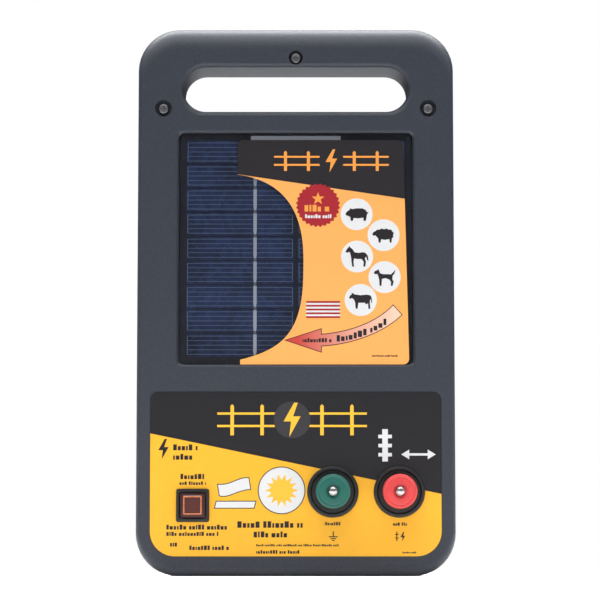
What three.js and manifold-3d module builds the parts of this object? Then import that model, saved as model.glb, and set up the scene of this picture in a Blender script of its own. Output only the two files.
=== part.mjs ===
// Solar electric-fence energizer: a carry-handled case with a solar panel, a status lamp and two
// binding-post terminals on its front, and a turning socket underneath that drops over a steel T-post.
// X is to the right, Y runs from the front face to the back, Z is up. Millimetres.
import * as THREE from "three";
import { mergeVertices } from "three/addons/utils/BufferGeometryUtils.js";
import Module from "manifold-3d";

const wasm = await Module();
wasm.setup();

// ---- Driving dimensions -------------------------------------------------------------------------

// Case
const CASE_WIDTH = 218;
const CASE_HEIGHT = 377.5;
const CASE_DEPTH = 94;
const HANDLE_DEPTH = 42;
const CORNER_RADIUS = 29;
const WALL = 2.6;
const SEAM_DEPTH = 25; // depth of the front shell
const SEAL_THICKNESS = 1;
const FIT = 0.3; // gap between pieces that meet
const SIDE_ROUND = 3; // how far the front edge's rounding comes in from the sides
const TOP_ROUND = 15;
const BOTTOM_ROUND = 5;
const ROUND_DEPTH = 9; // how far back that rounding starts
const BACK_DRAFT = 1.6;
const BACK_ROUND = 6;
const SLOPE_START = 205; // height where the back starts to slope in to the handle
const SLOPE_END_DROP = 77.5; // its end, below the case's top

// Carry handle
const HAND_HOLE_WIDTH = 155;
const HAND_HOLE_HEIGHT = 31;
const HANDLE_BAR = 27.5; // height of the bar above the hand hole
const HAND_HOLE_ROUND = 3.5;

// Front label
const LABEL_SIDE_MARGIN = 10;
const LABEL_BOTTOM = 13.4;
const LABEL_HEIGHT = 111.6;
const LABEL_TOP_RADIUS = 5.5;
const LABEL_BOTTOM_RADIUS = 17;
const LABEL_THICKNESS = 0.35;
const LABEL_RECESS = 0.5;

// Solar panel
const PANEL_WIDTH = 161;
const PANEL_ABOVE_LABEL = 18.7;
const PANEL_BELOW_HAND_HOLE = 14.9;
const PANEL_RADIUS = 4;
const GLASS_DEPTH = 1.6; // glass face below the case's face
const GLASS_THICKNESS = 2;
const CELL_THICKNESS = 0.3;
const BACKSHEET_THICKNESS = 0.6;
const PANEL_SEAL_THICKNESS = 0.8;
const PANEL_SEAL_WIDTH = 5;
const LAYER_GAP = 0.1;
const CELL_ROWS = 9;
const CELL_SIDE_MARGIN = 5.2; // from the cells to the panel's sides
const CELL_GAP = 1;
const STRING_GAP = 2.6; // between the two columns of cells
const CELL_END_MARGIN = 5.7; // above and below the cells
const RIBBON_WIDTH = 1.9;
const RIBBON_THICKNESS = 0.15;
const RIBBON_OFFSET = 28; // from the panel's middle line
const FILM_THICKNESS = 0.3;

// Terminals
const TERMINAL_HEIGHT = 57;
const FENCE_TERMINAL_SIDE = 38.6; // from the case's side
const TERMINAL_PITCH = 45.2;
const COLLAR_RADIUS = 17.2;
const COLLAR_RISE = 2.4;
const COLLAR_BOSS_RADIUS = 8.2;
const COLLAR_BOSS_RISE = 3.4;
const COLLAR_NECK_RADIUS = 5.6;
const STUD_RADIUS = 3;
const STUD_RISE = 22;
const STUD_TAIL = 21;
const THREAD_CLEARANCE = 0.3;
const WASHER_RADIUS = 7.2;
const WASHER_THICKNESS = 1.2;
const KNOB_RADIUS = 11.8;
const KNOB_LENGTH = 12;
const NUT_RADIUS = 5.8;
const NUT_THICKNESS = 4.5;

// Status lamp
const LAMP_SIDE = 39; // from the case's side
const LAMP_HEIGHT = 47.8;
const BEZEL_RIM = 2.5; // from the lens to the bezel's edge
const BEZEL_RISE = 2.2;
const LENS_SIZE = 17;
const LENS_TOP_SIZE = 13.8;
const LENS_RISE = 1.4;

// Post socket: the steel post's flange and web, and the sleeve and well around them
const POST_FLANGE_SLOT = [37, 7];
const POST_WEB_SLOT = [7, 31];
const SLOT_OFFSET = 8; // from the sleeve's axis back to the flange slot
const SLEEVE_GROOVE_DEPTH = 2.4;
const SLEEVE_LENGTH = 113;
const SLEEVE_TOP = 4;
const SLEEVE_CLEARANCE = 0.4;
const RETAINER_HEIGHT = 3;
const WELL_BEHIND = 3; // case depth left behind the well's wall

// Lock knob
const LOCK_HEIGHT = 72;
const LOCK_BOSS_RADIUS = 9.5;
const LOCK_BOSS_RISE = 3;
const LOCK_KNOB_RADIUS = 14;
const LOCK_KNOB_LENGTH = 11;
const LOCK_SCREW_RADIUS = 3;
const LOCK_PAD_RADIUS = 4.2;
const LOCK_TRAVEL = 3;

// Battery and its door
const BATTERY_WIDTH = 47;
const BATTERY_DEPTH = 68;
const BATTERY_HEIGHT = 101;
const BATTERY_BOTTOM = 26;
const BATTERY_SIDE_GAP = 14.5; // from the case's side
const TAB_HEIGHT = 6.4;
const DOOR_CLEARANCE = 2;
const DOOR_LIP = 3.5;
const DOOR_EAR = 11;
const DOOR_THICKNESS = 2.4;
const DOOR_FRAME_DEPTH = 5.4;
const DOOR_SEAL_THICKNESS = 0.6;

// Circuit board
const BOARD_FACE = 40; // depth of its front face
const BOARD_THICKNESS = 1.6;
const BOARD_BOTTOM = 40;
const BOARD_HEIGHT = 100;
const BOARD_WIDTH = 65;
const BOARD_POST_RADIUS = 3.6;
const BOARD_SIDE_GAP = 7;
const CORE_WIDTH = 40;
const CORE_HEIGHT = 34;
const CORE_DEPTH = 16;
const CORE_LEG = 12;

// Power switch, on the back
const SWITCH_X = 70;
const SWITCH_HEIGHT = 172;
const SWITCH_WIDTH = 17;
const SWITCH_LENGTH = 21;
const SWITCH_BODY_DEPTH = 16;
const SWITCH_EDGE = 3; // from its outside to the rocker's mouth
const ROCKER_TILT = 12; // degrees each side of level

// Screws
const SCREW_RADIUS = 1.6;
const SCREW_HEAD_RADIUS = 3.6;
const SCREW_HEAD_HEIGHT = 2.4;
const HANDLE_SCREW_X = 91.3;
const HANDLE_SCREW_HEIGHT_ABOVE_HOLE = 2;
const HANDLE_TOP_SCREW_DROP = 21;
const COUNTERBORE_RADIUS = 5.8;
const COUNTERBORE_DEPTH = 4;
const CASE_SCREW_SIDE = 15; // from the case's side
const CASE_SCREW_LOW = 13.5;
const CASE_SCREW_HIGH = 190;

// ---- Dimensions worked out from those -----------------------------------------------------------

const HALF = CASE_WIDTH / 2;
const REAR_START = SEAM_DEPTH + SEAL_THICKNESS + 2 * LAYER_GAP;
const SLOPE_END = CASE_HEIGHT - SLOPE_END_DROP;
const HOLE_TOP = CASE_HEIGHT - HANDLE_BAR;
const HOLE_BOTTOM = HOLE_TOP - HAND_HOLE_HEIGHT;
const PANEL_BOTTOM = LABEL_BOTTOM + LABEL_HEIGHT + PANEL_ABOVE_LABEL;
const PANEL_TOP = HOLE_BOTTOM - PANEL_BELOW_HAND_HOLE;
const CELLS_FACE = GLASS_DEPTH + GLASS_THICKNESS + 2 * LAYER_GAP + RIBBON_THICKNESS;
const BACKSHEET_FACE = CELLS_FACE + CELL_THICKNESS + LAYER_GAP;
const PANEL_SEAL_FACE = BACKSHEET_FACE + BACKSHEET_THICKNESS + LAYER_GAP;
const POCKET_DEPTH = PANEL_SEAL_FACE + PANEL_SEAL_THICKNESS + LAYER_GAP;
const SLOT_REACH = Math.hypot(POST_FLANGE_SLOT[0] / 2, SLOT_OFFSET + POST_FLANGE_SLOT[1]);
const SLEEVE_RADIUS = SLOT_REACH + WALL + SLEEVE_GROOVE_DEPTH + 1.2;
const WELL_RADIUS = SLEEVE_RADIUS + SLEEVE_CLEARANCE;
const WELL_Y = CASE_DEPTH - WELL_BEHIND - WELL_RADIUS - WALL;
const SLEEVE_BOTTOM = RETAINER_HEIGHT + 2 * FIT;
const WELL_TOP = SLEEVE_BOTTOM + SLEEVE_LENGTH + 2;
const SLEEVE_GROOVE_HEIGHT = 2 * (LOCK_PAD_RADIUS + 0.8);
const FENCE_TERMINAL_X = HALF - FENCE_TERMINAL_SIDE;
const LAMP_X = -HALF + LAMP_SIDE;
const BEZEL_SIZE = LENS_SIZE + 2 * BEZEL_RIM;
const BATTERY_X = -HALF + BATTERY_SIDE_GAP + BATTERY_WIDTH / 2;
const BATTERY_BACK = CASE_DEPTH - DOOR_FRAME_DEPTH - 1;
const BOARD_RIGHT = HALF - BOARD_SIDE_GAP;
const BOARD_LEFT = BOARD_RIGHT - BOARD_WIDTH;
const LOCK_FACE = CASE_DEPTH + LOCK_BOSS_RISE;
const terminals = [
  { name: "ground", x: FENCE_TERMINAL_X - TERMINAL_PITCH, finish: "green_knob" },
  { name: "fence", x: FENCE_TERMINAL_X, finish: "red_knob" },
];

// ---- Materials ----------------------------------------------------------------------------------

const finishes = {};
function finish(name, color, roughness, metalness = 0, opacity = 1) {
  const transparent = opacity < 1;
  finishes[name] = new THREE.MeshStandardMaterial({ color, roughness, metalness, opacity, transparent });
}
finish("shell_plastic", 0x464a52, 0.55);
finish("black_plastic", 0x1d1f22, 0.45);
finish("rubber", 0x151515, 0.85);
finish("glass", 0xdfe8ee, 0.08, 0, 0.3);
finish("solar_cell", 0x232f4a, 0.35);
finish("solder_ribbon", 0xb9bdc4, 0.35, 1);
finish("backsheet", 0x14171c, 0.6);
finish("label_print", 0xf7bd3a, 0.4);
finish("film_print", 0xf9b05a, 0.35);
finish("green_knob", 0x1f7563, 0.45);
finish("red_knob", 0xe8403f, 0.45);
finish("steel", 0xc4c2c0, 0.3, 1);
finish("brass", 0xc2a04c, 0.3, 1);
finish("lamp_lens", 0xb0431c, 0.2, 0, 0.75);
finish("battery_case", 0x2a2b2e, 0.5);
finish("circuit_board", 0x1f5a35, 0.5);
finish("copper_winding", 0xa8622f, 0.4, 1);
finish("core_iron", 0x55565a, 0.6, 1);
finish("component", 0x1a2a55, 0.4);
finish("red_insulation", 0xb02020, 0.5);
finish("black_insulation", 0x1a1a1a, 0.5);
finish("plate_print", 0xc9cbcd, 0.4);

// ---- Shapes and solids --------------------------------------------------------------------------

const CORNER_STEPS = 6;
const ROUND_SIDES = 20;
const SMALL_SIDES = 8;
const LARGE_SIDES = 28;

// The points of a rounded rectangle, counter-clockwise. Each corner may have its own radius, from
// the lower left one round to the upper left one.
function roundedRect(x0, z0, x1, z1, radius, steps = CORNER_STEPS) {
  const [r1, r2, r3, r4] = Array.isArray(radius) ? radius : [radius, radius, radius, radius];
  const corners = [
    [x0 + r1, z0 + r1, r1, Math.PI],
    [x1 - r2, z0 + r2, r2, 1.5 * Math.PI],
    [x1 - r3, z1 - r3, r3, 0],
    [x0 + r4, z1 - r4, r4, 0.5 * Math.PI],
  ];
  return corners.flatMap(([x, z, r, start]) =>
    Array.from({ length: steps + 1 }, (_, i) => {
      const angle = start + (i / steps) * (Math.PI / 2);
      return new THREE.Vector2(x + r * Math.cos(angle), z + r * Math.sin(angle));
    }),
  );
}

// A three.js geometry as a manifold solid.
function solid(geometry) {
  const bare = new THREE.BufferGeometry().setAttribute("position", geometry.getAttribute("position"));
  bare.setIndex(geometry.index);
  const merged = mergeVertices(bare, 1e-4);
  const index = merged.index.array;
  const triVerts = [];
  for (let i = 0; i < index.length; i += 3) {
    const [a, b, c] = index.slice(i, i + 3);
    if (a !== b && b !== c && c !== a) triVerts.push(a, b, c);
  }
  const vertProperties = merged.attributes.position.array;
  const mesh = new wasm.Mesh({ numProp: 3, vertProperties, triVerts: new Uint32Array(triVerts) });
  return new wasm.Manifold(mesh);
}

// An outline in X and Z, from depth y0 to depth y1.
function slab(outline, y0, y1) {
  const shape = new THREE.Shape(outline);
  const geometry = new THREE.ExtrudeGeometry(shape, { depth: y1 - y0, bevelEnabled: false });
  return solid(geometry.rotateX(Math.PI / 2).translate(0, y1, 0));
}

// An outline in X and Y, from height z0 to height z1.
function column(outline, z0, z1) {
  const shape = new THREE.Shape(outline);
  const geometry = new THREE.ExtrudeGeometry(shape, { depth: z1 - z0, bevelEnabled: false });
  return solid(geometry.translate(0, 0, z0));
}

// An outline in Y and Z, from x0 to x1.
function sidePrism(outline, x0, x1) {
  const shape = new THREE.Shape(outline.map(([y, z]) => new THREE.Vector2(y, z)));
  const geometry = new THREE.ExtrudeGeometry(shape, { depth: x1 - x0, bevelEnabled: false });
  const turn = new THREE.Matrix4().makeBasis(
    new THREE.Vector3(0, 1, 0),
    new THREE.Vector3(0, 0, 1),
    new THREE.Vector3(1, 0, 0),
  );
  return solid(geometry.applyMatrix4(turn).translate(x0, 0, 0));
}

function box(x0, x1, y0, y1, z0, z1) {
  const geometry = new THREE.BoxGeometry(x1 - x0, y1 - y0, z1 - z0);
  return solid(geometry.translate((x0 + x1) / 2, (y0 + y1) / 2, (z0 + z1) / 2));
}

// A round bar along Y, centred on x and z.
function rod(x, z, radius, y0, y1, sides = ROUND_SIDES) {
  const geometry = new THREE.CylinderGeometry(radius, radius, y1 - y0, sides);
  return solid(geometry.translate(x, (y0 + y1) / 2, z));
}

// A round bar along Z, centred on x and y.
function pillar(x, y, radius, z0, z1, sides = ROUND_SIDES) {
  const geometry = new THREE.CylinderGeometry(radius, radius, z1 - z0, sides);
  return solid(geometry.rotateX(Math.PI / 2).translate(x, y, (z0 + z1) / 2));
}

// A turned piece about an axis along Y through x and z. The profile holds [radius, y] pairs, and
// runs from its rear end to its front end.
function turned(x, z, profile, sides = ROUND_SIDES) {
  const points = profile.map(([r, y]) => new THREE.Vector2(r, -y));
  const geometry = new THREE.LatheGeometry(points, sides);
  return solid(geometry.rotateX(Math.PI).translate(x, 0, z));
}

// A body through a row of convex outlines, each { outline, y }, from front to back.
function loft(rings) {
  const count = rings[0].outline.length;
  const position = [];
  for (const { outline, y } of rings) outline.forEach((p) => position.push(p.x, y, p.y));
  const index = [];
  for (let i = 1; i < count - 1; i++) {
    const back = (rings.length - 1) * count;
    index.push(0, i, i + 1);
    index.push(back, back + i + 1, back + i);
  }
  for (let k = 0; k < rings.length - 1; k++) {
    for (let i = 0; i < count; i++) {
      const [a, b] = [k * count + i, k * count + ((i + 1) % count)];
      index.push(a, a + count, b + count, a, b + count, b);
    }
  }
  const geometry = new THREE.BufferGeometry();
  geometry.setAttribute("position", new THREE.Float32BufferAttribute(position, 3));
  geometry.setIndex(index);
  return solid(geometry);
}

const joined = (...solids) => solids.reduce((a, b) => a.add(b));
const cut = (body, ...tools) => tools.reduce((a, b) => a.subtract(b), body);

const energizer = new THREE.Group();

// Adds one named sub-part to a group.
function part(name, body, finishName, group = energizer) {
  const made = body.getMesh();
  const geometry = new THREE.BufferGeometry();
  geometry.setAttribute("position", new THREE.BufferAttribute(made.vertProperties, made.numProp));
  geometry.setIndex(new THREE.BufferAttribute(made.triVerts, 1));
  geometry.computeVertexNormals();
  const mesh = new THREE.Mesh(geometry, finishes[finishName]);
  mesh.name = name;
  group.add(mesh);
  return mesh;
}

// The case's outline, taken in by a distance at the sides, the top and the bottom.
function caseOutline(side, top = side, bottom = side) {
  const radius = Math.max(CORNER_RADIUS - side, 4);
  return roundedRect(-HALF + side, bottom, HALF - side, CASE_HEIGHT - top, radius);
}

const handHole = (grow) =>
  roundedRect(
    -HAND_HOLE_WIDTH / 2 - grow,
    HOLE_BOTTOM - grow,
    HAND_HOLE_WIDTH / 2 + grow,
    HOLE_TOP + grow,
    HAND_HOLE_HEIGHT / 2 + grow - 0.01,
  );

// The panel's outline, taken in by a distance.
const panelOutline = (inset) =>
  roundedRect(
    -PANEL_WIDTH / 2 + inset,
    PANEL_BOTTOM + inset,
    PANEL_WIDTH / 2 - inset,
    PANEL_TOP - inset,
    Math.max(PANEL_RADIUS - inset, 1),
    3,
  );

// The label's outline, taken in by a distance.
const labelOutline = (inset) =>
  roundedRect(
    -HALF + LABEL_SIDE_MARGIN + inset,
    LABEL_BOTTOM + inset,
    HALF - LABEL_SIDE_MARGIN - inset,
    LABEL_BOTTOM + LABEL_HEIGHT - inset,
    [LABEL_BOTTOM_RADIUS, LABEL_BOTTOM_RADIUS, LABEL_TOP_RADIUS, LABEL_TOP_RADIUS].map((r) => r - inset),
    5,
  );

const square = (x, z, size, radius = 1) =>
  roundedRect(x - size / 2, z - size / 2, x + size / 2, z + size / 2, radius, 2);

// ---- Screw places -------------------------------------------------------------------------------

const handleScrewHeight = HOLE_BOTTOM + HANDLE_SCREW_HEIGHT_ABOVE_HOLE;
const handleScrewX = Math.min(HANDLE_SCREW_X, HALF - CASE_SCREW_SIDE);
const handleScrews = [
  ["top", 0, CASE_HEIGHT - HANDLE_TOP_SCREW_DROP, COUNTERBORE_RADIUS - 0.9],
  ["left", -handleScrewX, handleScrewHeight, COUNTERBORE_RADIUS],
  ["right", handleScrewX, handleScrewHeight, COUNTERBORE_RADIUS],
];
const caseScrewX = HALF - CASE_SCREW_SIDE;
const caseScrews = [
  ["lower_left", -caseScrewX, CASE_SCREW_LOW],
  ["lower_right", caseScrewX, CASE_SCREW_LOW],
  ["upper_left", -caseScrewX, CASE_SCREW_HIGH],
  ["upper_right", caseScrewX, CASE_SCREW_HIGH],
];
const boardHoles = [
  [BOARD_LEFT + 5, BOARD_BOTTOM + 5],
  [BOARD_RIGHT - 5, BOARD_BOTTOM + 5],
  [BOARD_LEFT + 5, BOARD_BOTTOM + BOARD_HEIGHT - 5],
  [BOARD_RIGHT - 5, BOARD_BOTTOM + BOARD_HEIGHT - 5],
];
const CASE_SCREW_HEAD_Y = REAR_START + 9; // where the heads of the case's screws bear
const SCREW_HOLE = SCREW_RADIUS + FIT;

// ---- Front shell --------------------------------------------------------------------------------

function frontShell() {
  const steps = 4;
  const rings = Array.from({ length: steps + 1 }, (_, i) => {
    const angle = (i / steps) * (Math.PI / 2);
    const inward = 1 - Math.sin(angle);
    const outline = caseOutline(SIDE_ROUND * inward, TOP_ROUND * inward, BOTTOM_ROUND * inward);
    return { outline, y: ROUND_DEPTH * (1 - Math.cos(angle)) };
  });
  const outer = loft([...rings, { outline: caseOutline(0), y: SEAM_DEPTH }]);
  const cavity = loft([
    { outline: caseOutline(SIDE_ROUND + WALL, TOP_ROUND + WALL, BOTTOM_ROUND + WALL), y: WALL },
    { outline: caseOutline(WALL + 0.4), y: ROUND_DEPTH + WALL },
    { outline: caseOutline(WALL), y: SEAM_DEPTH + 1 },
  ]);
  const tray = slab(panelOutline(-WALL), 1, POCKET_DEPTH + WALL);
  const pocket = loft([
    { outline: panelOutline(-1.4), y: -1 },
    { outline: panelOutline(-1.4), y: 0 },
    { outline: panelOutline(0), y: GLASS_DEPTH },
    { outline: panelOutline(0), y: POCKET_DEPTH },
  ]);
  const holeWall = slab(handHole(WALL), 1, SEAM_DEPTH);
  const screwPosts = [
    ...handleScrews.map(([, x, z, r]) => rod(x, z, r + 1.6, 1, SEAM_DEPTH - LAYER_GAP)),
    ...caseScrews.map(([, x, z]) => rod(x, z, SCREW_RADIUS + 2.4, 1, SEAM_DEPTH - LAYER_GAP, SMALL_SIDES)),
    ...boardHoles.map(([x, z]) => rod(x, z, BOARD_POST_RADIUS, 1, BOARD_FACE - LAYER_GAP, SMALL_SIDES)),
  ];
  const inside = joined(tray, holeWall, ...screwPosts.slice(0, -boardHoles.length)).intersect(outer);
  const body = joined(outer.subtract(cavity), inside, ...screwPosts.slice(-boardHoles.length));
  const lead = rod(0, PANEL_BOTTOM + 20, 4, POCKET_DEPTH - 1, POCKET_DEPTH + WALL + 1, 12);
  const holes = [
    ...handleScrews.map(([, x, z, r]) => rod(x, z, r, -1, COUNTERBORE_DEPTH)),
    ...handleScrews.map(([, x, z]) => rod(x, z, SCREW_HOLE, 0, SEAM_DEPTH + 1, SMALL_SIDES)),
    ...caseScrews.map(([, x, z]) => rod(x, z, SCREW_HOLE, 6, SEAM_DEPTH + 1, SMALL_SIDES)),
    ...boardHoles.map(([x, z]) => rod(x, z, SCREW_HOLE, 12, BOARD_FACE + 1, SMALL_SIDES)),
    ...terminals.map(({ x }) => rod(x, TERMINAL_HEIGHT, COLLAR_NECK_RADIUS + FIT, -1, WALL + 1)),
    slab(square(LAMP_X, LAMP_HEIGHT, BEZEL_SIZE - 1.6), -1, WALL + 1),
  ];
  const opening = [slab(handHole(0), -1, SEAM_DEPTH + 1), ...handHoleRounding(0, 1)];
  return cut(body, pocket, lead, slab(labelOutline(-FIT), -1, LABEL_RECESS), ...holes, ...opening);
}

// The cutter that rounds an edge of the hand hole over, from a face at depth y. sign is 1 at the
// front face and -1 at the back face.
function handHoleRounding(y, sign) {
  const steps = 3;
  const rings = Array.from({ length: steps + 1 }, (_, i) => {
    const angle = (i / steps) * (Math.PI / 2);
    const outline = handHole(HAND_HOLE_ROUND * (1 - Math.sin(angle)));
    return { outline, y: y + sign * HAND_HOLE_ROUND * (1 - Math.cos(angle)) };
  });
  const flared = [{ outline: handHole(HAND_HOLE_ROUND), y: y - sign }, ...rings];
  return [loft(sign > 0 ? flared : flared.reverse())];
}

part("front_shell", frontShell(), "shell_plastic");

// ---- Rear shell ---------------------------------------------------------------------------------

// A body from depth y0 back to depth y1, with rounded rear edges, at the case's outline taken in by
// a wall.
function rearBlock(y0, y1, wall, draft, round) {
  const steps = 3;
  const rings = Array.from({ length: steps + 1 }, (_, i) => {
    const angle = (i / steps) * (Math.PI / 2);
    const rounding = round * (1 - Math.cos(angle));
    const outline = caseOutline(wall + draft + rounding, wall + draft + rounding, wall + rounding);
    return { outline, y: y1 - round + round * Math.sin(angle) };
  });
  return loft([{ outline: caseOutline(wall, wall, wall), y: y0 }, ...rings]);
}

// Everything behind the sloping back, from a height up, moved forward by a wall.
function behindSlope(wall) {
  const slopeAngle = Math.atan2(SLOPE_END - SLOPE_START, CASE_DEPTH - HANDLE_DEPTH);
  const drop = wall / Math.cos(Math.PI / 2 - slopeAngle);
  const rise = (SLOPE_END - SLOPE_START) / (CASE_DEPTH - HANDLE_DEPTH);
  const far = 20;
  const outline = [
    [CASE_DEPTH + far, SLOPE_START - rise * (far + drop)],
    [CASE_DEPTH + far, CASE_HEIGHT + far],
    [0, CASE_HEIGHT + far],
    [0, SLOPE_END],
    [HANDLE_DEPTH - drop, SLOPE_END],
  ];
  return sidePrism(outline, -CASE_WIDTH, CASE_WIDTH);
}

const doorWidth = BATTERY_WIDTH + 2 * DOOR_CLEARANCE;
const doorOpening = {
  x0: BATTERY_X - doorWidth / 2,
  x1: BATTERY_X + doorWidth / 2,
  z0: BATTERY_BOTTOM - DOOR_CLEARANCE,
  z1: BATTERY_BOTTOM + BATTERY_HEIGHT + TAB_HEIGHT + DOOR_CLEARANCE,
};
// The door's outline, taken in by a distance.
const doorOutline = (inset) =>
  roundedRect(
    doorOpening.x0 - DOOR_LIP + inset,
    doorOpening.z0 - DOOR_LIP + inset,
    doorOpening.x1 + DOOR_LIP - inset,
    doorOpening.z1 + DOOR_EAR - inset,
    3,
    2,
  );
const doorScrewHeight = doorOpening.z1 + DOOR_EAR / 2 + 0.5;
const doorScrews = [
  ["left", doorOpening.x1 - 7, doorScrewHeight],
  ["right", doorOpening.x0 + 7, doorScrewHeight],
];
const DOOR_SEAT = CASE_DEPTH - DOOR_THICKNESS - DOOR_SEAL_THICKNESS - 2 * LAYER_GAP;

// The well for the turning sleeve, closed on top.
function postWell() {
  const wall = pillar(0, WELL_Y, WELL_RADIUS + WALL, 0, WELL_TOP + WALL, LARGE_SIDES);
  const bore = pillar(0, WELL_Y, WELL_RADIUS, -1, WELL_TOP, LARGE_SIDES);
  const backing = box(-12, 12, WELL_Y, CASE_DEPTH - 1, LOCK_HEIGHT - 12, LOCK_HEIGHT + 12);
  const boss = rod(0, LOCK_HEIGHT, LOCK_BOSS_RADIUS, CASE_DEPTH - WALL, LOCK_FACE);
  return { wall: joined(wall, backing), bore, boss };
}

const switchOpening = roundedRect(
  SWITCH_X - SWITCH_WIDTH / 2 + 1,
  SWITCH_HEIGHT - SWITCH_LENGTH / 2 + 1,
  SWITCH_X + SWITCH_WIDTH / 2 - 1,
  SWITCH_HEIGHT + SWITCH_LENGTH / 2 - 1,
  0.5,
  1,
);

const PLATE = { width: 48, bottom: 174, height: 20, thickness: 0.3 };
const plateOutline = (grow) =>
  roundedRect(
    -PLATE.width / 2 - grow,
    PLATE.bottom - grow,
    PLATE.width / 2 + grow,
    PLATE.bottom + PLATE.height + grow,
    2,
    2,
  );

function rearShell() {
  const bodyOuter = rearBlock(REAR_START, CASE_DEPTH, 0, BACK_DRAFT, BACK_ROUND);
  const handleOuter = rearBlock(REAR_START, HANDLE_DEPTH, 0, 0, BACK_ROUND);
  const outer = joined(bodyOuter.subtract(behindSlope(0)), handleOuter);
  const bodyInner = rearBlock(REAR_START - 1, CASE_DEPTH - WALL, WALL, BACK_DRAFT, BACK_ROUND - 2);
  const handleInner = rearBlock(REAR_START - 1, HANDLE_DEPTH - WALL, WALL, 0, BACK_ROUND - 2);
  const inner = joined(bodyInner.subtract(behindSlope(WALL)), handleInner);
  const well = postWell();
  const { x0, x1, z0, z1 } = doorOpening;
  const frame = slab(doorOutline(-WALL), CASE_DEPTH - DOOR_FRAME_DEPTH, CASE_DEPTH - 1);
  const shelf = box(x0, x1, REAR_START, CASE_DEPTH - 2, BATTERY_BOTTOM - 3, BATTERY_BOTTOM - FIT);
  const inside = joined(
    well.wall,
    frame,
    shelf,
    slab(handHole(WALL), SEAM_DEPTH + LAYER_GAP, HANDLE_DEPTH - 1),
    ...handleScrews.map(([, x, z]) =>
      rod(x, z, SCREW_RADIUS + 2.6, REAR_START, HANDLE_DEPTH - 1, SMALL_SIDES),
    ),
    ...caseScrews.map(([, x, z]) => rod(x, z, SCREW_HEAD_RADIUS + 3, REAR_START, CASE_DEPTH - 1, 16)),
  ).intersect(joined(outer, slab(handHole(WALL), SEAM_DEPTH + LAYER_GAP, REAR_START + 1)));
  const body = joined(outer.subtract(inner), inside, well.boss);
  const screwHoles = [
    ...handleScrews.map(([, x, z]) => rod(x, z, SCREW_HOLE, REAR_START - 1, HANDLE_DEPTH - 4, SMALL_SIDES)),
    ...caseScrews.map(([, x, z]) => rod(x, z, SCREW_HOLE, REAR_START - 1, CASE_DEPTH, SMALL_SIDES)),
    ...caseScrews.map(([, x, z]) =>
      rod(x, z, SCREW_HEAD_RADIUS + 1, CASE_SCREW_HEAD_Y, CASE_DEPTH + 1, 16),
    ),
    ...doorScrews.map(([, x, z]) =>
      rod(x, z, SCREW_HOLE, CASE_DEPTH - DOOR_FRAME_DEPTH - 1, CASE_DEPTH, SMALL_SIDES),
    ),
  ];
  return cut(
    body,
    slab(handHole(0), SEAM_DEPTH, HANDLE_DEPTH + 1),
    ...handHoleRounding(HANDLE_DEPTH, -1),
    slab(roundedRect(x0, z0, x1, z1, 1, 1), CASE_DEPTH - 12, CASE_DEPTH + 1),
    slab(doorOutline(-FIT), DOOR_SEAT, CASE_DEPTH + 1),
    well.bore,
    rod(0, LOCK_HEIGHT, LOCK_PAD_RADIUS + 0.5, WELL_Y, LOCK_FACE + 1),
    rod(0, LOCK_HEIGHT, LOCK_PAD_RADIUS + 1.4, LOCK_FACE - 5.4, LOCK_FACE + 1),
    slab(switchOpening, CASE_DEPTH - WALL - 2, CASE_DEPTH + 1),
    slab(plateOutline(FIT), CASE_DEPTH - PLATE.thickness - 2 * LAYER_GAP, CASE_DEPTH + 1),
    ...screwHoles,
  );
}
part("rear_shell", rearShell(), "shell_plastic");

// The seal squeezed between the two shells.
const sealOuter = slab(caseOutline(0.6), SEAM_DEPTH + LAYER_GAP, REAR_START - LAYER_GAP);
const sealInner = slab(caseOutline(WALL), SEAM_DEPTH, REAR_START);
part("case_seal", sealOuter.subtract(sealInner), "rubber");

const plateBack = CASE_DEPTH - LAYER_GAP;
part("rating_plate", slab(plateOutline(0), plateBack - PLATE.thickness, plateBack), "plate_print");

// ---- Solar panel --------------------------------------------------------------------------------

const inPocket = panelOutline(FIT);
part("solar_glass", slab(inPocket, GLASS_DEPTH, GLASS_DEPTH + GLASS_THICKNESS), "glass");
part(
  "solar_backsheet",
  slab(inPocket, BACKSHEET_FACE, BACKSHEET_FACE + BACKSHEET_THICKNESS),
  "backsheet",
);
const panelSealBack = PANEL_SEAL_FACE + PANEL_SEAL_THICKNESS;
part(
  "solar_seal",
  slab(inPocket, PANEL_SEAL_FACE, panelSealBack).subtract(
    slab(panelOutline(PANEL_SEAL_WIDTH), PANEL_SEAL_FACE - 1, panelSealBack + 1),
  ),
  "rubber",
);

const cellPitch = (PANEL_TOP - PANEL_BOTTOM - 2 * CELL_END_MARGIN + CELL_GAP) / CELL_ROWS;
const cellBottom = PANEL_BOTTOM + CELL_END_MARGIN;
const ribbonFront = CELLS_FACE - RIBBON_THICKNESS;

// One column of cells in series, soldered to the ribbon that runs down their faces.
function cellString(side) {
  const [near, far] = [STRING_GAP / 2, PANEL_WIDTH / 2 - CELL_SIDE_MARGIN];
  const [x0, x1] = side > 0 ? [near, far] : [-far, -near];
  const cells = Array.from({ length: CELL_ROWS }, (_, row) => {
    const z = cellBottom + row * cellPitch;
    return box(x0, x1, CELLS_FACE, CELLS_FACE + CELL_THICKNESS, z, z + cellPitch - CELL_GAP);
  });
  const x = side * RIBBON_OFFSET;
  const top = cellBottom + CELL_ROWS * cellPitch - CELL_GAP;
  const ribbon = box(
    x - RIBBON_WIDTH / 2,
    x + RIBBON_WIDTH / 2,
    ribbonFront,
    CELLS_FACE + 0.1,
    cellBottom + 1,
    top + 0.6,
  );
  return joined(ribbon, ...cells);
}
part("solar_cells_left", cellString(-1), "solar_cell");
part("solar_cells_right", cellString(1), "solar_cell");

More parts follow.
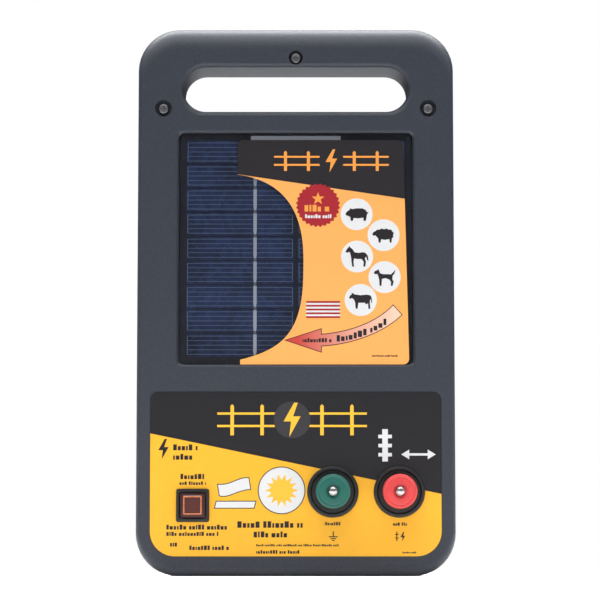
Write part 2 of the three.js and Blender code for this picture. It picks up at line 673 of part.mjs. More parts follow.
const linkBottom = cellBottom + CELL_ROWS * cellPitch - CELL_GAP + 0.9;
part(
  "solar_link_ribbon",
  box(-RIBBON_OFFSET - 3, RIBBON_OFFSET + 3, ribbonFront, CELLS_FACE, linkBottom, linkBottom + 3),
  "solder_ribbon",
);

// ---- Peel-off film on the glass, with one side cut in a long curve ------------------------------

const FILM = { left: -40, side: 3, lean: 3.4, waist: 5.2, foot: 0.2, head: 5.1, headCut: 24, footRise: 3.2 };

function filmOutline() {
  const right = PANEL_WIDTH / 2 - FILM.side;
  const [bottom, top] = [PANEL_BOTTOM + FILM.foot, PANEL_TOP - FILM.head];
  const shape = new THREE.Shape();
  shape.moveTo(FILM.left + 2, bottom);
  shape.lineTo(right - 4, bottom);
  shape.absarc(right - 4, bottom + 4, 4, -Math.PI / 2, 0);
  shape.lineTo(right - FILM.lean, top - 4);
  shape.absarc(right - FILM.lean - 4, top - 4, 4, 0, Math.PI / 2);
  shape.absarc(FILM.left + 4, top - 4, 4, Math.PI / 2, Math.PI);
  shape.lineTo(FILM.left, top - FILM.headCut);
  shape.bezierCurveTo(9.3, top - 30.5, FILM.waist, top - 77, FILM.waist, bottom + 64);
  shape.bezierCurveTo(FILM.waist, bottom + 21.7, -9.2, bottom + 10.3, FILM.left + 2, bottom + FILM.footRise);
  return shape.getPoints(7);
}
const filmBack = GLASS_DEPTH - LAYER_GAP;
part("panel_film", slab(filmOutline(), filmBack - FILM_THICKNESS, filmBack), "film_print");

// ---- Front label --------------------------------------------------------------------------------

const labelFront = LABEL_RECESS - LAYER_GAP - LABEL_THICKNESS;
const labelCuts = [
  ...terminals.map(({ x }) => rod(x, TERMINAL_HEIGHT, COLLAR_RADIUS + FIT, -1, 1, LARGE_SIDES)),
  slab(square(LAMP_X, LAMP_HEIGHT, BEZEL_SIZE + 2 * FIT, 1.5), -1, 1),
];
part(
  "front_label",
  cut(slab(labelOutline(0), labelFront, labelFront + LABEL_THICKNESS), ...labelCuts),
  "label_print",
);

// ---- Status lamp --------------------------------------------------------------------------------

function lampBezel() {
  const flange = slab(square(LAMP_X, LAMP_HEIGHT, BEZEL_SIZE, 1.5), -BEZEL_RISE, LABEL_RECESS - LAYER_GAP);
  const body = slab(square(LAMP_X, LAMP_HEIGHT, BEZEL_SIZE - 2.2, 1), 0, 12);
  const seat = slab(square(LAMP_X, LAMP_HEIGHT, LENS_SIZE + 2 * FIT), -BEZEL_RISE - 1, 2.4);
  const bore = slab(square(LAMP_X, LAMP_HEIGHT, LENS_SIZE - 3), -1, 13);
  return cut(joined(flange, body), seat, bore);
}
part("lamp_bezel", lampBezel(), "black_plastic");

function lampLens() {
  const base = slab(square(LAMP_X, LAMP_HEIGHT, LENS_SIZE), -0.6, 2.2);
  const crown = loft([
    { outline: square(LAMP_X, LAMP_HEIGHT, LENS_TOP_SIZE - 1.2), y: -BEZEL_RISE - LENS_RISE },
    { outline: square(LAMP_X, LAMP_HEIGHT, LENS_TOP_SIZE), y: -BEZEL_RISE - LENS_RISE + 0.6 },
    { outline: square(LAMP_X, LAMP_HEIGHT, LENS_TOP_SIZE), y: 0 },
  ]);
  return joined(base, crown);
}
part("lamp_lens", lampLens(), "lamp_lens");

const LED_RADIUS = 2.5;
part(
  "lamp_led",
  turned(LAMP_X, LAMP_HEIGHT, [
    [0, 11.5],
    [LED_RADIUS + 0.4, 11.5],
    [LED_RADIUS + 0.4, 10.5],
    [LED_RADIUS, 10.5],
    [LED_RADIUS, 5.5],
    [LED_RADIUS * 0.7, 3.9],
    [0, 3.2],
  ], SMALL_SIDES),
  "lamp_lens",
);

// ---- Terminals: each an insulating collar, a stud, a washer and a knob, with a nut and lug behind ---

function terminalCollar(x) {
  const lip = 1.4;
  const dish = COLLAR_RISE - 1.6;
  const back = LABEL_RECESS - LAYER_GAP;
  const profile = [
    [STUD_RADIUS + FIT, WALL + 6],
    [COLLAR_NECK_RADIUS, WALL + 6],
    [COLLAR_NECK_RADIUS, back],
    [COLLAR_RADIUS, back],
    [COLLAR_RADIUS, -COLLAR_RISE + 0.8],
    [COLLAR_RADIUS - 0.8, -COLLAR_RISE],
    [COLLAR_RADIUS - 0.8 - lip, -COLLAR_RISE],
    [COLLAR_RADIUS - 2 - lip, -dish],
    [COLLAR_BOSS_RADIUS, -dish],
    [COLLAR_BOSS_RADIUS - 0.4, -COLLAR_BOSS_RISE],
    [STUD_RADIUS + FIT, -COLLAR_BOSS_RISE],
    [STUD_RADIUS + FIT, WALL + 6],
  ];
  return turned(x, TERMINAL_HEIGHT, profile, LARGE_SIDES);
}

function stud(x) {
  const tip = -STUD_RISE;
  return turned(x, TERMINAL_HEIGHT, [
    [0, STUD_TAIL],
    [STUD_RADIUS, STUD_TAIL],
    [STUD_RADIUS, tip + 1],
    [STUD_RADIUS - 1, tip],
    [0, tip],
  ], 20);
}

function ring(x, z, bore, radius, y0, y1, sides = ROUND_SIDES) {
  return rod(x, z, radius, y0, y1, sides).subtract(rod(x, z, bore, y0 - 1, y1 + 1, ROUND_SIDES));
}

const washerBack = -COLLAR_BOSS_RISE - FIT;
const washerFront = washerBack - WASHER_THICKNESS;
const knobBack = washerFront - LAYER_GAP;
const knobFront = knobBack - KNOB_LENGTH;
const threadBore = STUD_RADIUS + THREAD_CLEARANCE;

function knob(x) {
  const edge = 1.2;
  const bore = threadBore;
  return turned(x, TERMINAL_HEIGHT, [
    [bore, knobBack],
    [WASHER_RADIUS, knobBack],
    [WASHER_RADIUS + 1, knobBack - 1.5],
    [KNOB_RADIUS - 0.6, knobBack - 1.5],
    [KNOB_RADIUS, knobBack - 2.1],
    [KNOB_RADIUS, knobFront + edge],
    [KNOB_RADIUS - edge, knobFront],
    [bore + 0.6, knobFront],
    [bore, knobFront + 0.6],
    [bore, knobBack],
  ], LARGE_SIDES);
}

const LUG_THICKNESS = 0.8;
const LUG_REACH = 18;
const collarBack = WALL + 6;
const lugFront = collarBack + FIT;
const nutFront = lugFront + LUG_THICKNESS + FIT;
// A crimped ring lug: an eye round the stud and a tongue that reaches down to the wire.
function lug(x) {
  const z = TERMINAL_HEIGHT;
  const eye = rod(x, z, NUT_RADIUS, lugFront, lugFront + LUG_THICKNESS);
  const tongue = box(x - 2, x + 2, lugFront, lugFront + LUG_THICKNESS, z - LUG_REACH, z);
  const barrel = box(x - 2, x + 2, lugFront, lugFront + 3.2, z - LUG_REACH, z - LUG_REACH + 6);
  return cut(joined(eye, tongue, barrel), rod(x, z, threadBore, 0, lugFront + 2));
}

for (const { name, x, finish: knobFinish } of terminals) {
  part(`${name}_collar`, terminalCollar(x), "black_plastic");
  part(`${name}_stud`, stud(x), "steel");
  const washer = ring(x, TERMINAL_HEIGHT, threadBore, WASHER_RADIUS, washerFront, washerBack);
  part(`${name}_washer`, washer, "steel");
  part(`${name}_knob`, knob(x), knobFinish);
  part(`${name}_lug`, lug(x), "brass");
  const nut = ring(x, TERMINAL_HEIGHT, threadBore, NUT_RADIUS, nutFront, nutFront + NUT_THICKNESS, 6);
  part(`${name}_nut`, nut, "steel");
}

// ---- Post socket --------------------------------------------------------------------------------

// The slot for the post: its flange behind its web, both grown by a distance.
function postSlot(grow, z0, z1) {
  const [flangeWidth, flangeDepth] = POST_FLANGE_SLOT;
  const [webWidth, webDepth] = POST_WEB_SLOT;
  const back = WELL_Y + SLOT_OFFSET;
  const flange = box(
    -flangeWidth / 2 - grow,
    flangeWidth / 2 + grow,
    back - grow,
    back + flangeDepth + grow,
    z0,
    z1,
  );
  const web = box(-webWidth / 2 - grow, webWidth / 2 + grow, back - webDepth - grow, back + 1, z0, z1);
  return joined(flange, web);
}

function postSleeve() {
  const [z0, z1] = [SLEEVE_BOTTOM, SLEEVE_BOTTOM + SLEEVE_LENGTH];
  const outer = pillar(0, WELL_Y, SLEEVE_RADIUS, z0, z1, LARGE_SIDES);
  const hollow = pillar(0, WELL_Y, SLEEVE_RADIUS - WALL, z0 - 1, z1 - SLEEVE_TOP, LARGE_SIDES);
  const band = pillar(0, WELL_Y, SLEEVE_RADIUS - 1, LOCK_HEIGHT - 8, LOCK_HEIGHT + 8, LARGE_SIDES).subtract(
    pillar(0, WELL_Y, SLEEVE_RADIUS - SLEEVE_GROOVE_DEPTH - WALL, 0, LOCK_HEIGHT + 9, LARGE_SIDES),
  );
  const walls = joined(
    postSlot(WALL, z0, z1),
    box(-WALL / 2, WALL / 2, WELL_Y - SLEEVE_RADIUS, WELL_Y + SLEEVE_RADIUS, z0, z1),
    box(-SLEEVE_RADIUS, SLEEVE_RADIUS, WELL_Y - WALL / 2, WELL_Y + WALL / 2, z0, z1),
  ).intersect(pillar(0, WELL_Y, SLEEVE_RADIUS - 1, z0, z1, LARGE_SIDES));
  const grooveTop = LOCK_HEIGHT + SLEEVE_GROOVE_HEIGHT / 2;
  const grooveBottom = LOCK_HEIGHT - SLEEVE_GROOVE_HEIGHT / 2;
  const groove = pillar(0, WELL_Y, SLEEVE_RADIUS + 1, grooveBottom, grooveTop, LARGE_SIDES).subtract(
    pillar(0, WELL_Y, SLEEVE_RADIUS - SLEEVE_GROOVE_DEPTH, grooveBottom, grooveTop, LARGE_SIDES),
  );
  const tube = joined(outer.subtract(hollow), walls, band);
  return cut(tube, postSlot(0, z0 - 1, z1 - SLEEVE_TOP), groove);
}
part("post_sleeve", postSleeve(), "black_plastic");

const retainer = pillar(0, WELL_Y, WELL_RADIUS - 0.2, FIT, FIT + RETAINER_HEIGHT, LARGE_SIDES);
part(
  "sleeve_retainer",
  retainer.subtract(pillar(0, WELL_Y, SLOT_REACH + 0.8, 0, RETAINER_HEIGHT + 1, LARGE_SIDES)),
  "black_plastic",
);

// ---- Lock knob: a thumb screw through the back that bears on the sleeve's groove -----------------

const padFront = WELL_Y + SLEEVE_RADIUS - SLEEVE_GROOVE_DEPTH + 0.3;
const padBack = padFront + 2;
const insertFront = LOCK_FACE - 5;
const lockHeadFront = LOCK_FACE + 1.6;
const lockHeadBack = lockHeadFront + LOCK_KNOB_LENGTH;
part("lock_pad", rod(0, LOCK_HEIGHT, LOCK_PAD_RADIUS, padFront, padBack), "black_plastic");
part(
  "lock_insert",
  ring(0, LOCK_HEIGHT, LOCK_SCREW_RADIUS + THREAD_CLEARANCE, LOCK_PAD_RADIUS + 1.1, insertFront, LOCK_FACE),
  "brass",
);

function lockKnob() {
  const lobes = 5;
  const outline = Array.from({ length: lobes * 8 }, (_, i) => {
    const angle = (i / (lobes * 8)) * 2 * Math.PI;
    const r = LOCK_KNOB_RADIUS - 1.3 + 1.3 * Math.cos(lobes * angle);
    return new THREE.Vector2(r * Math.cos(angle), LOCK_HEIGHT + r * Math.sin(angle));
  });
  const head = slab(outline, lockHeadFront + 2, lockHeadBack);
  const hub = rod(0, LOCK_HEIGHT, 7, lockHeadFront, lockHeadFront + 3);
  const screw = rod(0, LOCK_HEIGHT, LOCK_SCREW_RADIUS, padBack + LAYER_GAP, lockHeadBack - 3, 20);
  return joined(head, hub, screw);
}
part("lock_knob", lockKnob(), "black_plastic");

// ---- Battery and its door -----------------------------------------------------------------------

const batteryLeft = BATTERY_X - BATTERY_WIDTH / 2;
const batteryRight = BATTERY_X + BATTERY_WIDTH / 2;
const batteryFront = BATTERY_BACK - BATTERY_DEPTH;
const batteryTop = BATTERY_BOTTOM + BATTERY_HEIGHT;
const batteryOutline = roundedRect(batteryLeft, batteryFront, batteryRight, BATTERY_BACK, 2.5, 2);
part("battery", column(batteryOutline, BATTERY_BOTTOM, batteryTop), "battery_case");

const tabY = batteryFront + 14;
const tabs = [
  ["positive", batteryLeft + 10],
  ["negative", batteryRight - 10],
];
for (const [pole, x] of tabs) {
  const z0 = batteryTop + LAYER_GAP;
  part(`battery_tab_${pole}`, box(x - 2.4, x + 2.4, tabY - 0.4, tabY + 0.4, z0, z0 + TAB_HEIGHT), "brass");
}

function batteryDoor() {
  const { x0, x1, z0, z1 } = doorOpening;
  const plate = slab(doorOutline(0), CASE_DEPTH - DOOR_THICKNESS, CASE_DEPTH);
  const rimOutline = roundedRect(x0 + 0.8, z0 + 0.8, x1 - 0.8, z1 - 0.8, 1, 1);
  const rim = slab(rimOutline, DOOR_SEAT - 1.6, CASE_DEPTH - 1);
  const rimHollow = slab(roundedRect(x0 + 3, z0 + 3, x1 - 3, z1 - 3, 1, 1), 0, CASE_DEPTH - DOOR_THICKNESS);
  const ribs = [0, 1, 2, 3].map((i) => {
    const z = z0 + 14 + i * 8;
    return box(x0 + 8, x1 - 8, CASE_DEPTH - 0.5, CASE_DEPTH + 0.8, z, z + 3);
  });
  const holes = doorScrews.map(([, x, z]) => rod(x, z, SCREW_HOLE, DOOR_SEAT, CASE_DEPTH + 1, SMALL_SIDES));
  return cut(joined(plate, rim.subtract(rimHollow), ...ribs), ...holes);
}
part("battery_door", batteryDoor(), "shell_plastic");

function doorSeal() {
  const { x0, x1, z0, z1 } = doorOpening;
  const [y0, y1] = [DOOR_SEAT + LAYER_GAP, DOOR_SEAT + LAYER_GAP + DOOR_SEAL_THICKNESS];
  const holes = doorScrews.map(([, x, z]) => rod(x, z, SCREW_HOLE, y0 - 1, y1 + 1, SMALL_SIDES));
  const opening = slab(roundedRect(x0, z0, x1, z1, 1, 1), y0 - 1, y1 + 1);
  return cut(slab(doorOutline(0.4), y0, y1), opening, ...holes);
}
part("door_seal", doorSeal(), "rubber");

// ---- Circuit board, with the parts that make the pulse -------------------------------------------

const boardTop = BOARD_BOTTOM + BOARD_HEIGHT;
const boardBack = BOARD_FACE + BOARD_THICKNESS;
const onBoard = boardBack + LAYER_GAP;
function circuitBoard() {
  const outline = roundedRect(BOARD_LEFT, BOARD_BOTTOM, BOARD_RIGHT, boardTop, 2, 2);
  const holes = boardHoles.map(([x, z]) =>
    rod(x, z, SCREW_HOLE, BOARD_FACE - 1, boardBack + 1, SMALL_SIDES),
  );
  return cut(slab(outline, BOARD_FACE, boardBack), ...holes);
}
part("circuit_board", circuitBoard(), "circuit_board");

const coreX = (BOARD_LEFT + BOARD_RIGHT) / 2;
const coreZ = BOARD_BOTTOM + 34;
const coreFront = onBoard + CORE_WIDTH / 2 - CORE_LEG;
const coreBack = coreFront + CORE_DEPTH;
const coreHalfWindow = CORE_HEIGHT / 2 - CORE_LEG / 2;
// The laminated core: an outer frame with a middle leg, seen along Y.
function transformerCore() {
  const [w, h] = [CORE_WIDTH / 2, CORE_HEIGHT / 2];
  const frame = slab(roundedRect(coreX - w, coreZ - h, coreX + w, coreZ + h, 1, 1), coreFront, coreBack);
  const window = (x0, x1) => box(x0, x1, 0, CASE_DEPTH, coreZ - coreHalfWindow, coreZ + coreHalfWindow);
  const left = window(coreX - w + CORE_LEG / 2, coreX - CORE_LEG / 2);
  const right = window(coreX + CORE_LEG / 2, coreX + w - CORE_LEG / 2);
  return cut(frame, left, right);
}
part("transformer_core", transformerCore(), "core_iron");

// The winding round the middle leg. It fills both windows and stands on the board.
function transformerCoil() {
  const wide = CORE_WIDTH / 2 - CORE_LEG / 2 - FIT;
  const high = coreHalfWindow - FIT;
  const build = CORE_WIDTH / 2 - CORE_LEG;
  const leg = CORE_LEG / 2 + FIT;
  const block = box(coreX - wide, coreX + wide, onBoard, coreBack + build, coreZ - high, coreZ + high);
  return block.subtract(box(coreX - leg, coreX + leg, coreFront - FIT, coreBack + FIT, 0, CASE_HEIGHT));
}
part("transformer_coil", transformerCoil(), "copper_winding");

const CAPACITOR_RADIUS = 10.5;
const CAPACITOR_LENGTH = 28;
const capacitorY = onBoard + CAPACITOR_RADIUS;
const capacitorBottom = coreZ + CORE_HEIGHT / 2 + 6;
const capacitorX = BOARD_LEFT + 12 + CAPACITOR_RADIUS;
part(
  "storage_capacitor",
  pillar(capacitorX, capacitorY, CAPACITOR_RADIUS, capacitorBottom, capacitorBottom + CAPACITOR_LENGTH),
  "component",
);

const thyristorX = BOARD_RIGHT - 12;
part(
  "discharge_thyristor",
  joined(
    box(thyristorX - 5, thyristorX + 5, onBoard + 1, onBoard + 5.5, capacitorBottom, capacitorBottom + 9),
    box(thyristorX - 5, thyristorX + 5, onBoard, onBoard + 1.3, capacitorBottom, capacitorBottom + 15.5),
  ),
  "component",
);
part(
  "control_chip",
  box(thyristorX - 4, thyristorX + 4, onBoard, onBoard + 3.4, capacitorBottom + 19, capacitorBottom + 29),
  "black_plastic",
);

// ---- Power switch -------------------------------------------------------------------------------

const SWITCH_RIM = 1.6;
const ROCKER_FACE = 8; // from the pivot to the rocker's ends
const ROCKER_PIN_RADIUS = 1.2;
const ROCKER_PIN_LENGTH = 1.2;
const tilt = THREE.MathUtils.degToRad(ROCKER_TILT);
const mouthHalfWidth = SWITCH_WIDTH / 2 - SWITCH_EDGE;
const mouthHalfLength = SWITCH_LENGTH / 2 - 2;
const pivotY = CASE_DEPTH - 4;
// A round bar along X, centred on a point.
function pinBar(x, y, z, radius, halfLength) {
  const geometry = new THREE.CylinderGeometry(radius, radius, 2 * halfLength, 12);
  return solid(geometry.rotateZ(Math.PI / 2).translate(x, y, z));
}

function switchFrame() {
  const outline = (halfWidth, halfLength) =>
    roundedRect(
      SWITCH_X - halfWidth,
      SWITCH_HEIGHT - halfLength,
      SWITCH_X + halfWidth,
      SWITCH_HEIGHT + halfLength,
      0.8,
      2,
    );
  const [w, l] = [SWITCH_WIDTH / 2, SWITCH_LENGTH / 2];
  const rim = slab(outline(w + 0.6, l + 0.6), CASE_DEPTH + LAYER_GAP, CASE_DEPTH + SWITCH_RIM);
  const body = slab(outline(w - 1 - FIT, l - 1 - FIT), CASE_DEPTH - SWITCH_BODY_DEPTH, CASE_DEPTH + 1);
  const mouth = slab(outline(mouthHalfWidth, mouthHalfLength), pivotY - 9, CASE_DEPTH + SWITCH_RIM + 1);
  const pinRadius = ROCKER_PIN_RADIUS + FIT;
  const pin = pinBar(SWITCH_X, pivotY, SWITCH_HEIGHT, pinRadius, mouthHalfWidth + ROCKER_PIN_LENGTH);
  return cut(joined(rim, body), mouth, pin);
}
part("switch_frame", switchFrame(), "black_plastic");

// The rocker, on a group that tilts it to its off position about its pins.
const rockerGroup = new THREE.Group();
rockerGroup.position.set(SWITCH_X, pivotY, SWITCH_HEIGHT);
rockerGroup.rotation.x = -tilt;
energizer.add(rockerGroup);
function rocker() {
  const half = mouthHalfLength - ROCKER_FACE * Math.sin(tilt) - FIT;
  const profile = [
    [-4.5, -1.5],
    [-2, -half * 0.8],
    [ROCKER_FACE, -half],
    [ROCKER_FACE - 1.6, 0],
    [ROCKER_FACE, half],
    [-2, half * 0.8],
    [-4.5, 1.5],
  ];
  const halfWidth = mouthHalfWidth - FIT;
  const pin = pinBar(0, 0, 0, ROCKER_PIN_RADIUS, halfWidth + ROCKER_PIN_LENGTH - FIT);
  return joined(sidePrism(profile, -halfWidth, halfWidth), pin);
}
part("power_rocker", rocker(), "black_plastic", rockerGroup);

// ---- Screws -------------------------------------------------------------------------------------

// A pan-head screw along Y. direction is 1 when it is driven from the front, -1 from the back.
function screw(x, z, headSeat, length, direction) {
  const [a, b] = [headSeat - direction * SCREW_HEAD_HEIGHT, headSeat + direction * length];
  const head = rod(x, z, SCREW_HEAD_RADIUS, Math.min(a, headSeat), Math.max(a, headSeat), 12);
  const neck = headSeat - direction;
  const shank = rod(x, z, SCREW_RADIUS, Math.min(neck, b), Math.max(neck, b), SMALL_SIDES);
  const slot = [0, 1].map((turn) => {
    const [w, d] = turn ? [0.5, 2.2] : [2.2, 0.5];
    const [near, far] = [Math.min(a, a + direction), Math.max(a, a + direction)];
    return box(x - w, x + w, near - 0.1, far + 0.1, z - d, z + d);
  });
  return cut(joined(head, shank), ...slot);
}
const handleScrewLength = HANDLE_DEPTH - COUNTERBORE_DEPTH - 8;
for (const [name, x, z] of handleScrews) {
  part(`handle_screw_${name}`, screw(x, z, COUNTERBORE_DEPTH - LAYER_GAP, handleScrewLength, 1), "steel");
}
for (const [name, x, z] of caseScrews) {
  part(`case_screw_${name}`, screw(x, z, CASE_SCREW_HEAD_Y + LAYER_GAP, 24, -1), "steel");
}
for (const [name, x, z] of doorScrews) {
  part(`door_screw_${name}`, screw(x, z, CASE_DEPTH + LAYER_GAP, 7, -1), "steel");
}
const [boardScrewX, boardScrewZ] = boardHoles[2];
part("board_screw", screw(boardScrewX, boardScrewZ, boardBack + LAYER_GAP, 12, -1), "steel");

// ---- Leads, each held along its route inside the case --------------------------------------------

const LEAD_RADIUS = 1.1;
function lead(points) {
  const route = new THREE.CatmullRomCurve3(points.map(([x, y, z]) => new THREE.Vector3(x, y, z)));
  const section = new THREE.Shape().absarc(0, 0, LEAD_RADIUS, 0, 2 * Math.PI);
  return solid(
    new THREE.ExtrudeGeometry(section, {
      steps: 14,
      curveSegments: 3,
      extrudePath: route,
      bevelEnabled: false,
    }),
  );
}
const tabTop = batteryTop + TAB_HEIGHT + FIT;
const frontOfBoard = (x, z) => [
  [x, BOARD_FACE - 8, z],
  [x, BOARD_FACE - FIT, z],
];
for (const [index, [pole, x]] of tabs.entries()) {
  const landingX = BOARD_LEFT + 14 + 7 * index;
  const route = [
    [x, tabY, tabTop],
    [x, tabY, tabTop + 4],
    [x + 14, tabY + 4, tabTop + 10 - 4 * index],
    [0, tabY + 18, WELL_TOP + 22 - 6 * index],
    [landingX, boardBack + 8, boardTop - 6 - 6 * index],
    [landingX, boardBack + FIT, boardTop - 6 - 6 * index],
  ];
  part(`battery_lead_${pole}`, lead(route), pole === "positive" ? "red_insulation" : "black_insulation");
}
part(
  "solar_lead",
  lead([
    [0, POCKET_DEPTH + WALL + 1.4, PANEL_BOTTOM + 20],
    [0, POCKET_DEPTH + WALL + 7, PANEL_BOTTOM + 19],
    [12, 24, PANEL_BOTTOM + 8],
    ...frontOfBoard(BOARD_LEFT + 30, boardTop - 8),
  ]),
  "black_insulation",
);
for (const { name, x } of terminals) {
  const z = TERMINAL_HEIGHT - LUG_REACH - FIT;
  const landingX = Math.max(x, BOARD_LEFT + 18);
  const route = [
    [x, lugFront + 1.5, z],
    [x, lugFront + 2.5, z - 5],
    [(x + landingX) / 2, 24, z - 8],
    ...frontOfBoard(landingX, BOARD_BOTTOM + 6),
  ];
  part(`${name}_lead`, lead(route), name === "fence" ? "red_insulation" : "black_insulation");
}

// The origin is the middle of the whole part's footprint.
energizer.position.y = -(lockHeadBack - STUD_RISE) / 2;

export default energizer;
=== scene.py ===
"""Visual model of a solar electric-fence energizer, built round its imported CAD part."""

import math

import bmesh
import bpy
from mathutils import Matrix, Vector


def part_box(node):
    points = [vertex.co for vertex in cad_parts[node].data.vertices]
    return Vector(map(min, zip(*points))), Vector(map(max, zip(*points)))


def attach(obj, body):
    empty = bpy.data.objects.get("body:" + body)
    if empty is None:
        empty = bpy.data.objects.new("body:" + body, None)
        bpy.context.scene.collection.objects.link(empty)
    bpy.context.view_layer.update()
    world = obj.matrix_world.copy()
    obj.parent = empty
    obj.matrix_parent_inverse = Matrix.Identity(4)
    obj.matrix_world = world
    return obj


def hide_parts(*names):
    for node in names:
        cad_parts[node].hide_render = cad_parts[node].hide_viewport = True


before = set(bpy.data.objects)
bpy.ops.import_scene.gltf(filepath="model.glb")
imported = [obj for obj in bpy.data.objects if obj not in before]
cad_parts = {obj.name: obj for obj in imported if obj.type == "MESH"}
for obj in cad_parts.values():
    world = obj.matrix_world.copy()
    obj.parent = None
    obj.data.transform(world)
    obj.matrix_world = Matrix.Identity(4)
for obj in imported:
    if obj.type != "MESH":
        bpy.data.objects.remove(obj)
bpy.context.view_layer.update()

# ---- Front shell ---------------------------------------------------------------------------------
# The front half of the case: ABS, injection moulded, slate grey, with a fine spark-eroded grain.
# Its edge rounds over, most of all along the top, and its pocket, recess and holes take the
# panel, the label, the lamp, the terminals and the screws.

MM = 0.001
FACE_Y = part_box("front_shell")[0].y  # the case's face. Shapes are drawn in mm, with Y = 0 there.


def place(node):
    """A CAD node's lowest and highest corners, in the drawing's millimetres."""
    low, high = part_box(node)
    shift = Vector((0, FACE_Y, 0))
    return (low - shift) / MM, (high - shift) / MM


def middle(node):
    low, high = place(node)
    return (low + high) / 2


def linear(hex_colour):
    """An sRGB hex colour as linear RGBA."""
    channels = [int(hex_colour[i : i + 2], 16) / 255 for i in (1, 3, 5)]
    return [c / 12.92 if c <= 0.04045 else ((c + 0.055) / 1.055) ** 2.4 for c in channels] + [1]


def add(tree, kind, inputs=None, **settings):
    """Adds a shader node with its settings, values and links."""
    node = tree.nodes.new("ShaderNode" + kind)
    for name, value in settings.items():
        setattr(node, name, value)
    for socket, value in (inputs or {}).items():
        if isinstance(value, bpy.types.NodeSocket):
            tree.links.new(value, node.inputs[socket])
        else:
            node.inputs[socket].default_value = value
    return node


def new_material(name):
    material = bpy.data.materials.new(name)
    material.use_nodes = True
    material.node_tree.nodes.clear()
    return material, material.node_tree


def finished(tree, inputs):
    """Ends a material with a Principled shader."""
    shader = add(tree, "BsdfPrincipled", inputs)
    add(tree, "OutputMaterial", {"Surface": shader.outputs["BSDF"]})


def moulded(name, hex_colour, roughness, grain_mm=0.9, grain_depth_mm=0.05, speckle=0.1, ior=1.5):
    """A moulded plastic: an even colour with the mould's grain as small bumps, and a little of the
    grain's light and dark in the colour. The grain is drawn coarser than real so that it shows."""
    material, tree = new_material(name)
    where = add(tree, "TexCoord").outputs["Object"]
    grain = add(
        tree, "TexNoise", {"Vector": where, "Scale": 1 / (grain_mm * MM), "Detail": 2, "Roughness": 0.6}
    ).outputs["Fac"]
    spread = {"From Min": 0.3, "From Max": 0.7, "To Min": 1 - speckle, "To Max": 1 + speckle}
    tone = add(tree, "MapRange", {"Value": grain, **spread}).outputs["Result"]
    colour = add(
        tree, "VectorMath", {0: linear(hex_colour)[:3], "Scale": tone}, operation="SCALE"
    ).outputs["Vector"]
    bump = add(tree, "Bump", {"Height": grain, "Strength": 0.5, "Distance": grain_depth_mm * MM})
    finished(
        tree,
        {"Base Color": colour, "Roughness": roughness, "IOR": ior, "Normal": bump.outputs["Normal"]},
    )
    return material


def sheet(left, right, low, high, radius, y=0, segments=10):
    """A flat rounded rectangle across X and Z. Each corner may have its own radius, from the lower
    left round to the upper left."""
    bm = bmesh.new()
    bmesh.ops.create_grid(bm, x_segments=1, y_segments=1, size=0.5)
    bmesh.ops.rotate(bm, verts=bm.verts, matrix=Matrix.Rotation(math.pi / 2, 3, "X"))
    bmesh.ops.scale(bm, verts=bm.verts, vec=(right - left, 1, high - low))
    bmesh.ops.translate(bm, verts=bm.verts, vec=((left + right) / 2, y, (low + high) / 2))
    radii = radius if isinstance(radius, (list, tuple)) else [radius] * 4
    corners = [(left, low), (right, low), (right, high), (left, high)]
    for (x, z), r in zip(corners, radii):
        corner = min(bm.verts, key=lambda v: (v.co.x - x) ** 2 + (v.co.z - z) ** 2)
        if r > 0:
            bmesh.ops.bevel(
                bm, geom=[corner], offset=r, affect="VERTICES", segments=segments, profile=0.5, material=-1
            )
    return bm


def drawn(bm, stations):
    """Draws a sheet out into a solid through stations: each is its depth Y, and how far it comes in
    from the sides, the top and the bottom. The first is the sheet's own place."""
    face = bm.faces[:][0]
    zs = [v.co.z for v in face.verts]
    xs = [v.co.x for v in face.verts]
    left, right, low, high = min(xs), max(xs), min(zs), max(zs)
    half, mid = (right - left) / 2, (left + right) / 2
    last = None
    for number, (y, side, top, bottom) in enumerate(stations):
        if number:
            old = face
            made = bmesh.ops.extrude_face_region(bm, geom=[face])["geom"]
            face = next(g for g in made if isinstance(g, bmesh.types.BMFace))
            if number > 1:
                bmesh.ops.delete(bm, geom=[old], context="FACES_ONLY")
        last = last or (high, low, half)
        now = (high - top, low + bottom, half - side)
        verts = face.verts[:]
        factor_x = now[2] / last[2]
        factor_z = (now[0] - now[1]) / (last[0] - last[1])
        centre = Vector((mid, 0, (last[0] + last[1]) / 2))
        bmesh.ops.translate(bm, verts=verts, vec=-centre)
        bmesh.ops.scale(bm, verts=verts, vec=(factor_x, 1, factor_z))
        bmesh.ops.translate(bm, verts=verts, vec=(mid, y - verts[0].co.y, (now[0] + now[1]) / 2))
        last = now
    bmesh.ops.recalc_face_normals(bm, faces=bm.faces)
    return bm


def block(left, right, low, high, radius, y0, y1, segments=6):
    """A plain solid with rounded upright edges, from depth y0 to y1."""
    return drawn(sheet(left, right, low, high, radius, y0, segments), [(y0, 0, 0, 0), (y1, 0, 0, 0)])


def bar(x, z, radius, y0, y1, segments=48):
    """A round bar along Y."""
    bm = bmesh.new()
    bmesh.ops.create_cone(
        bm, cap_ends=True, segments=segments, radius1=radius, radius2=radius, depth=y1 - y0
    )
    bmesh.ops.rotate(bm, verts=bm.verts, matrix=Matrix.Rotation(math.pi / 2, 3, "X"))
    bmesh.ops.translate(bm, verts=bm.verts, vec=(x, (y0 + y1) / 2, z))
    return bm


def upright(x, y, radius, z0, z1, segments=64):
    """A round bar along Z."""
    bm = bmesh.new()
    bmesh.ops.create_cone(
        bm, cap_ends=True, segments=segments, radius1=radius, radius2=radius, depth=z1 - z0
    )
    bmesh.ops.translate(bm, verts=bm.verts, vec=(x, y, (z0 + z1) / 2))
    return bm


def into_object(bm, name):
    mesh = bpy.data.meshes.new(name)
    bm.to_mesh(mesh)
    bm.free()
    made = bpy.data.objects.new(name, mesh)
    bpy.context.scene.collection.objects.link(made)
    return made


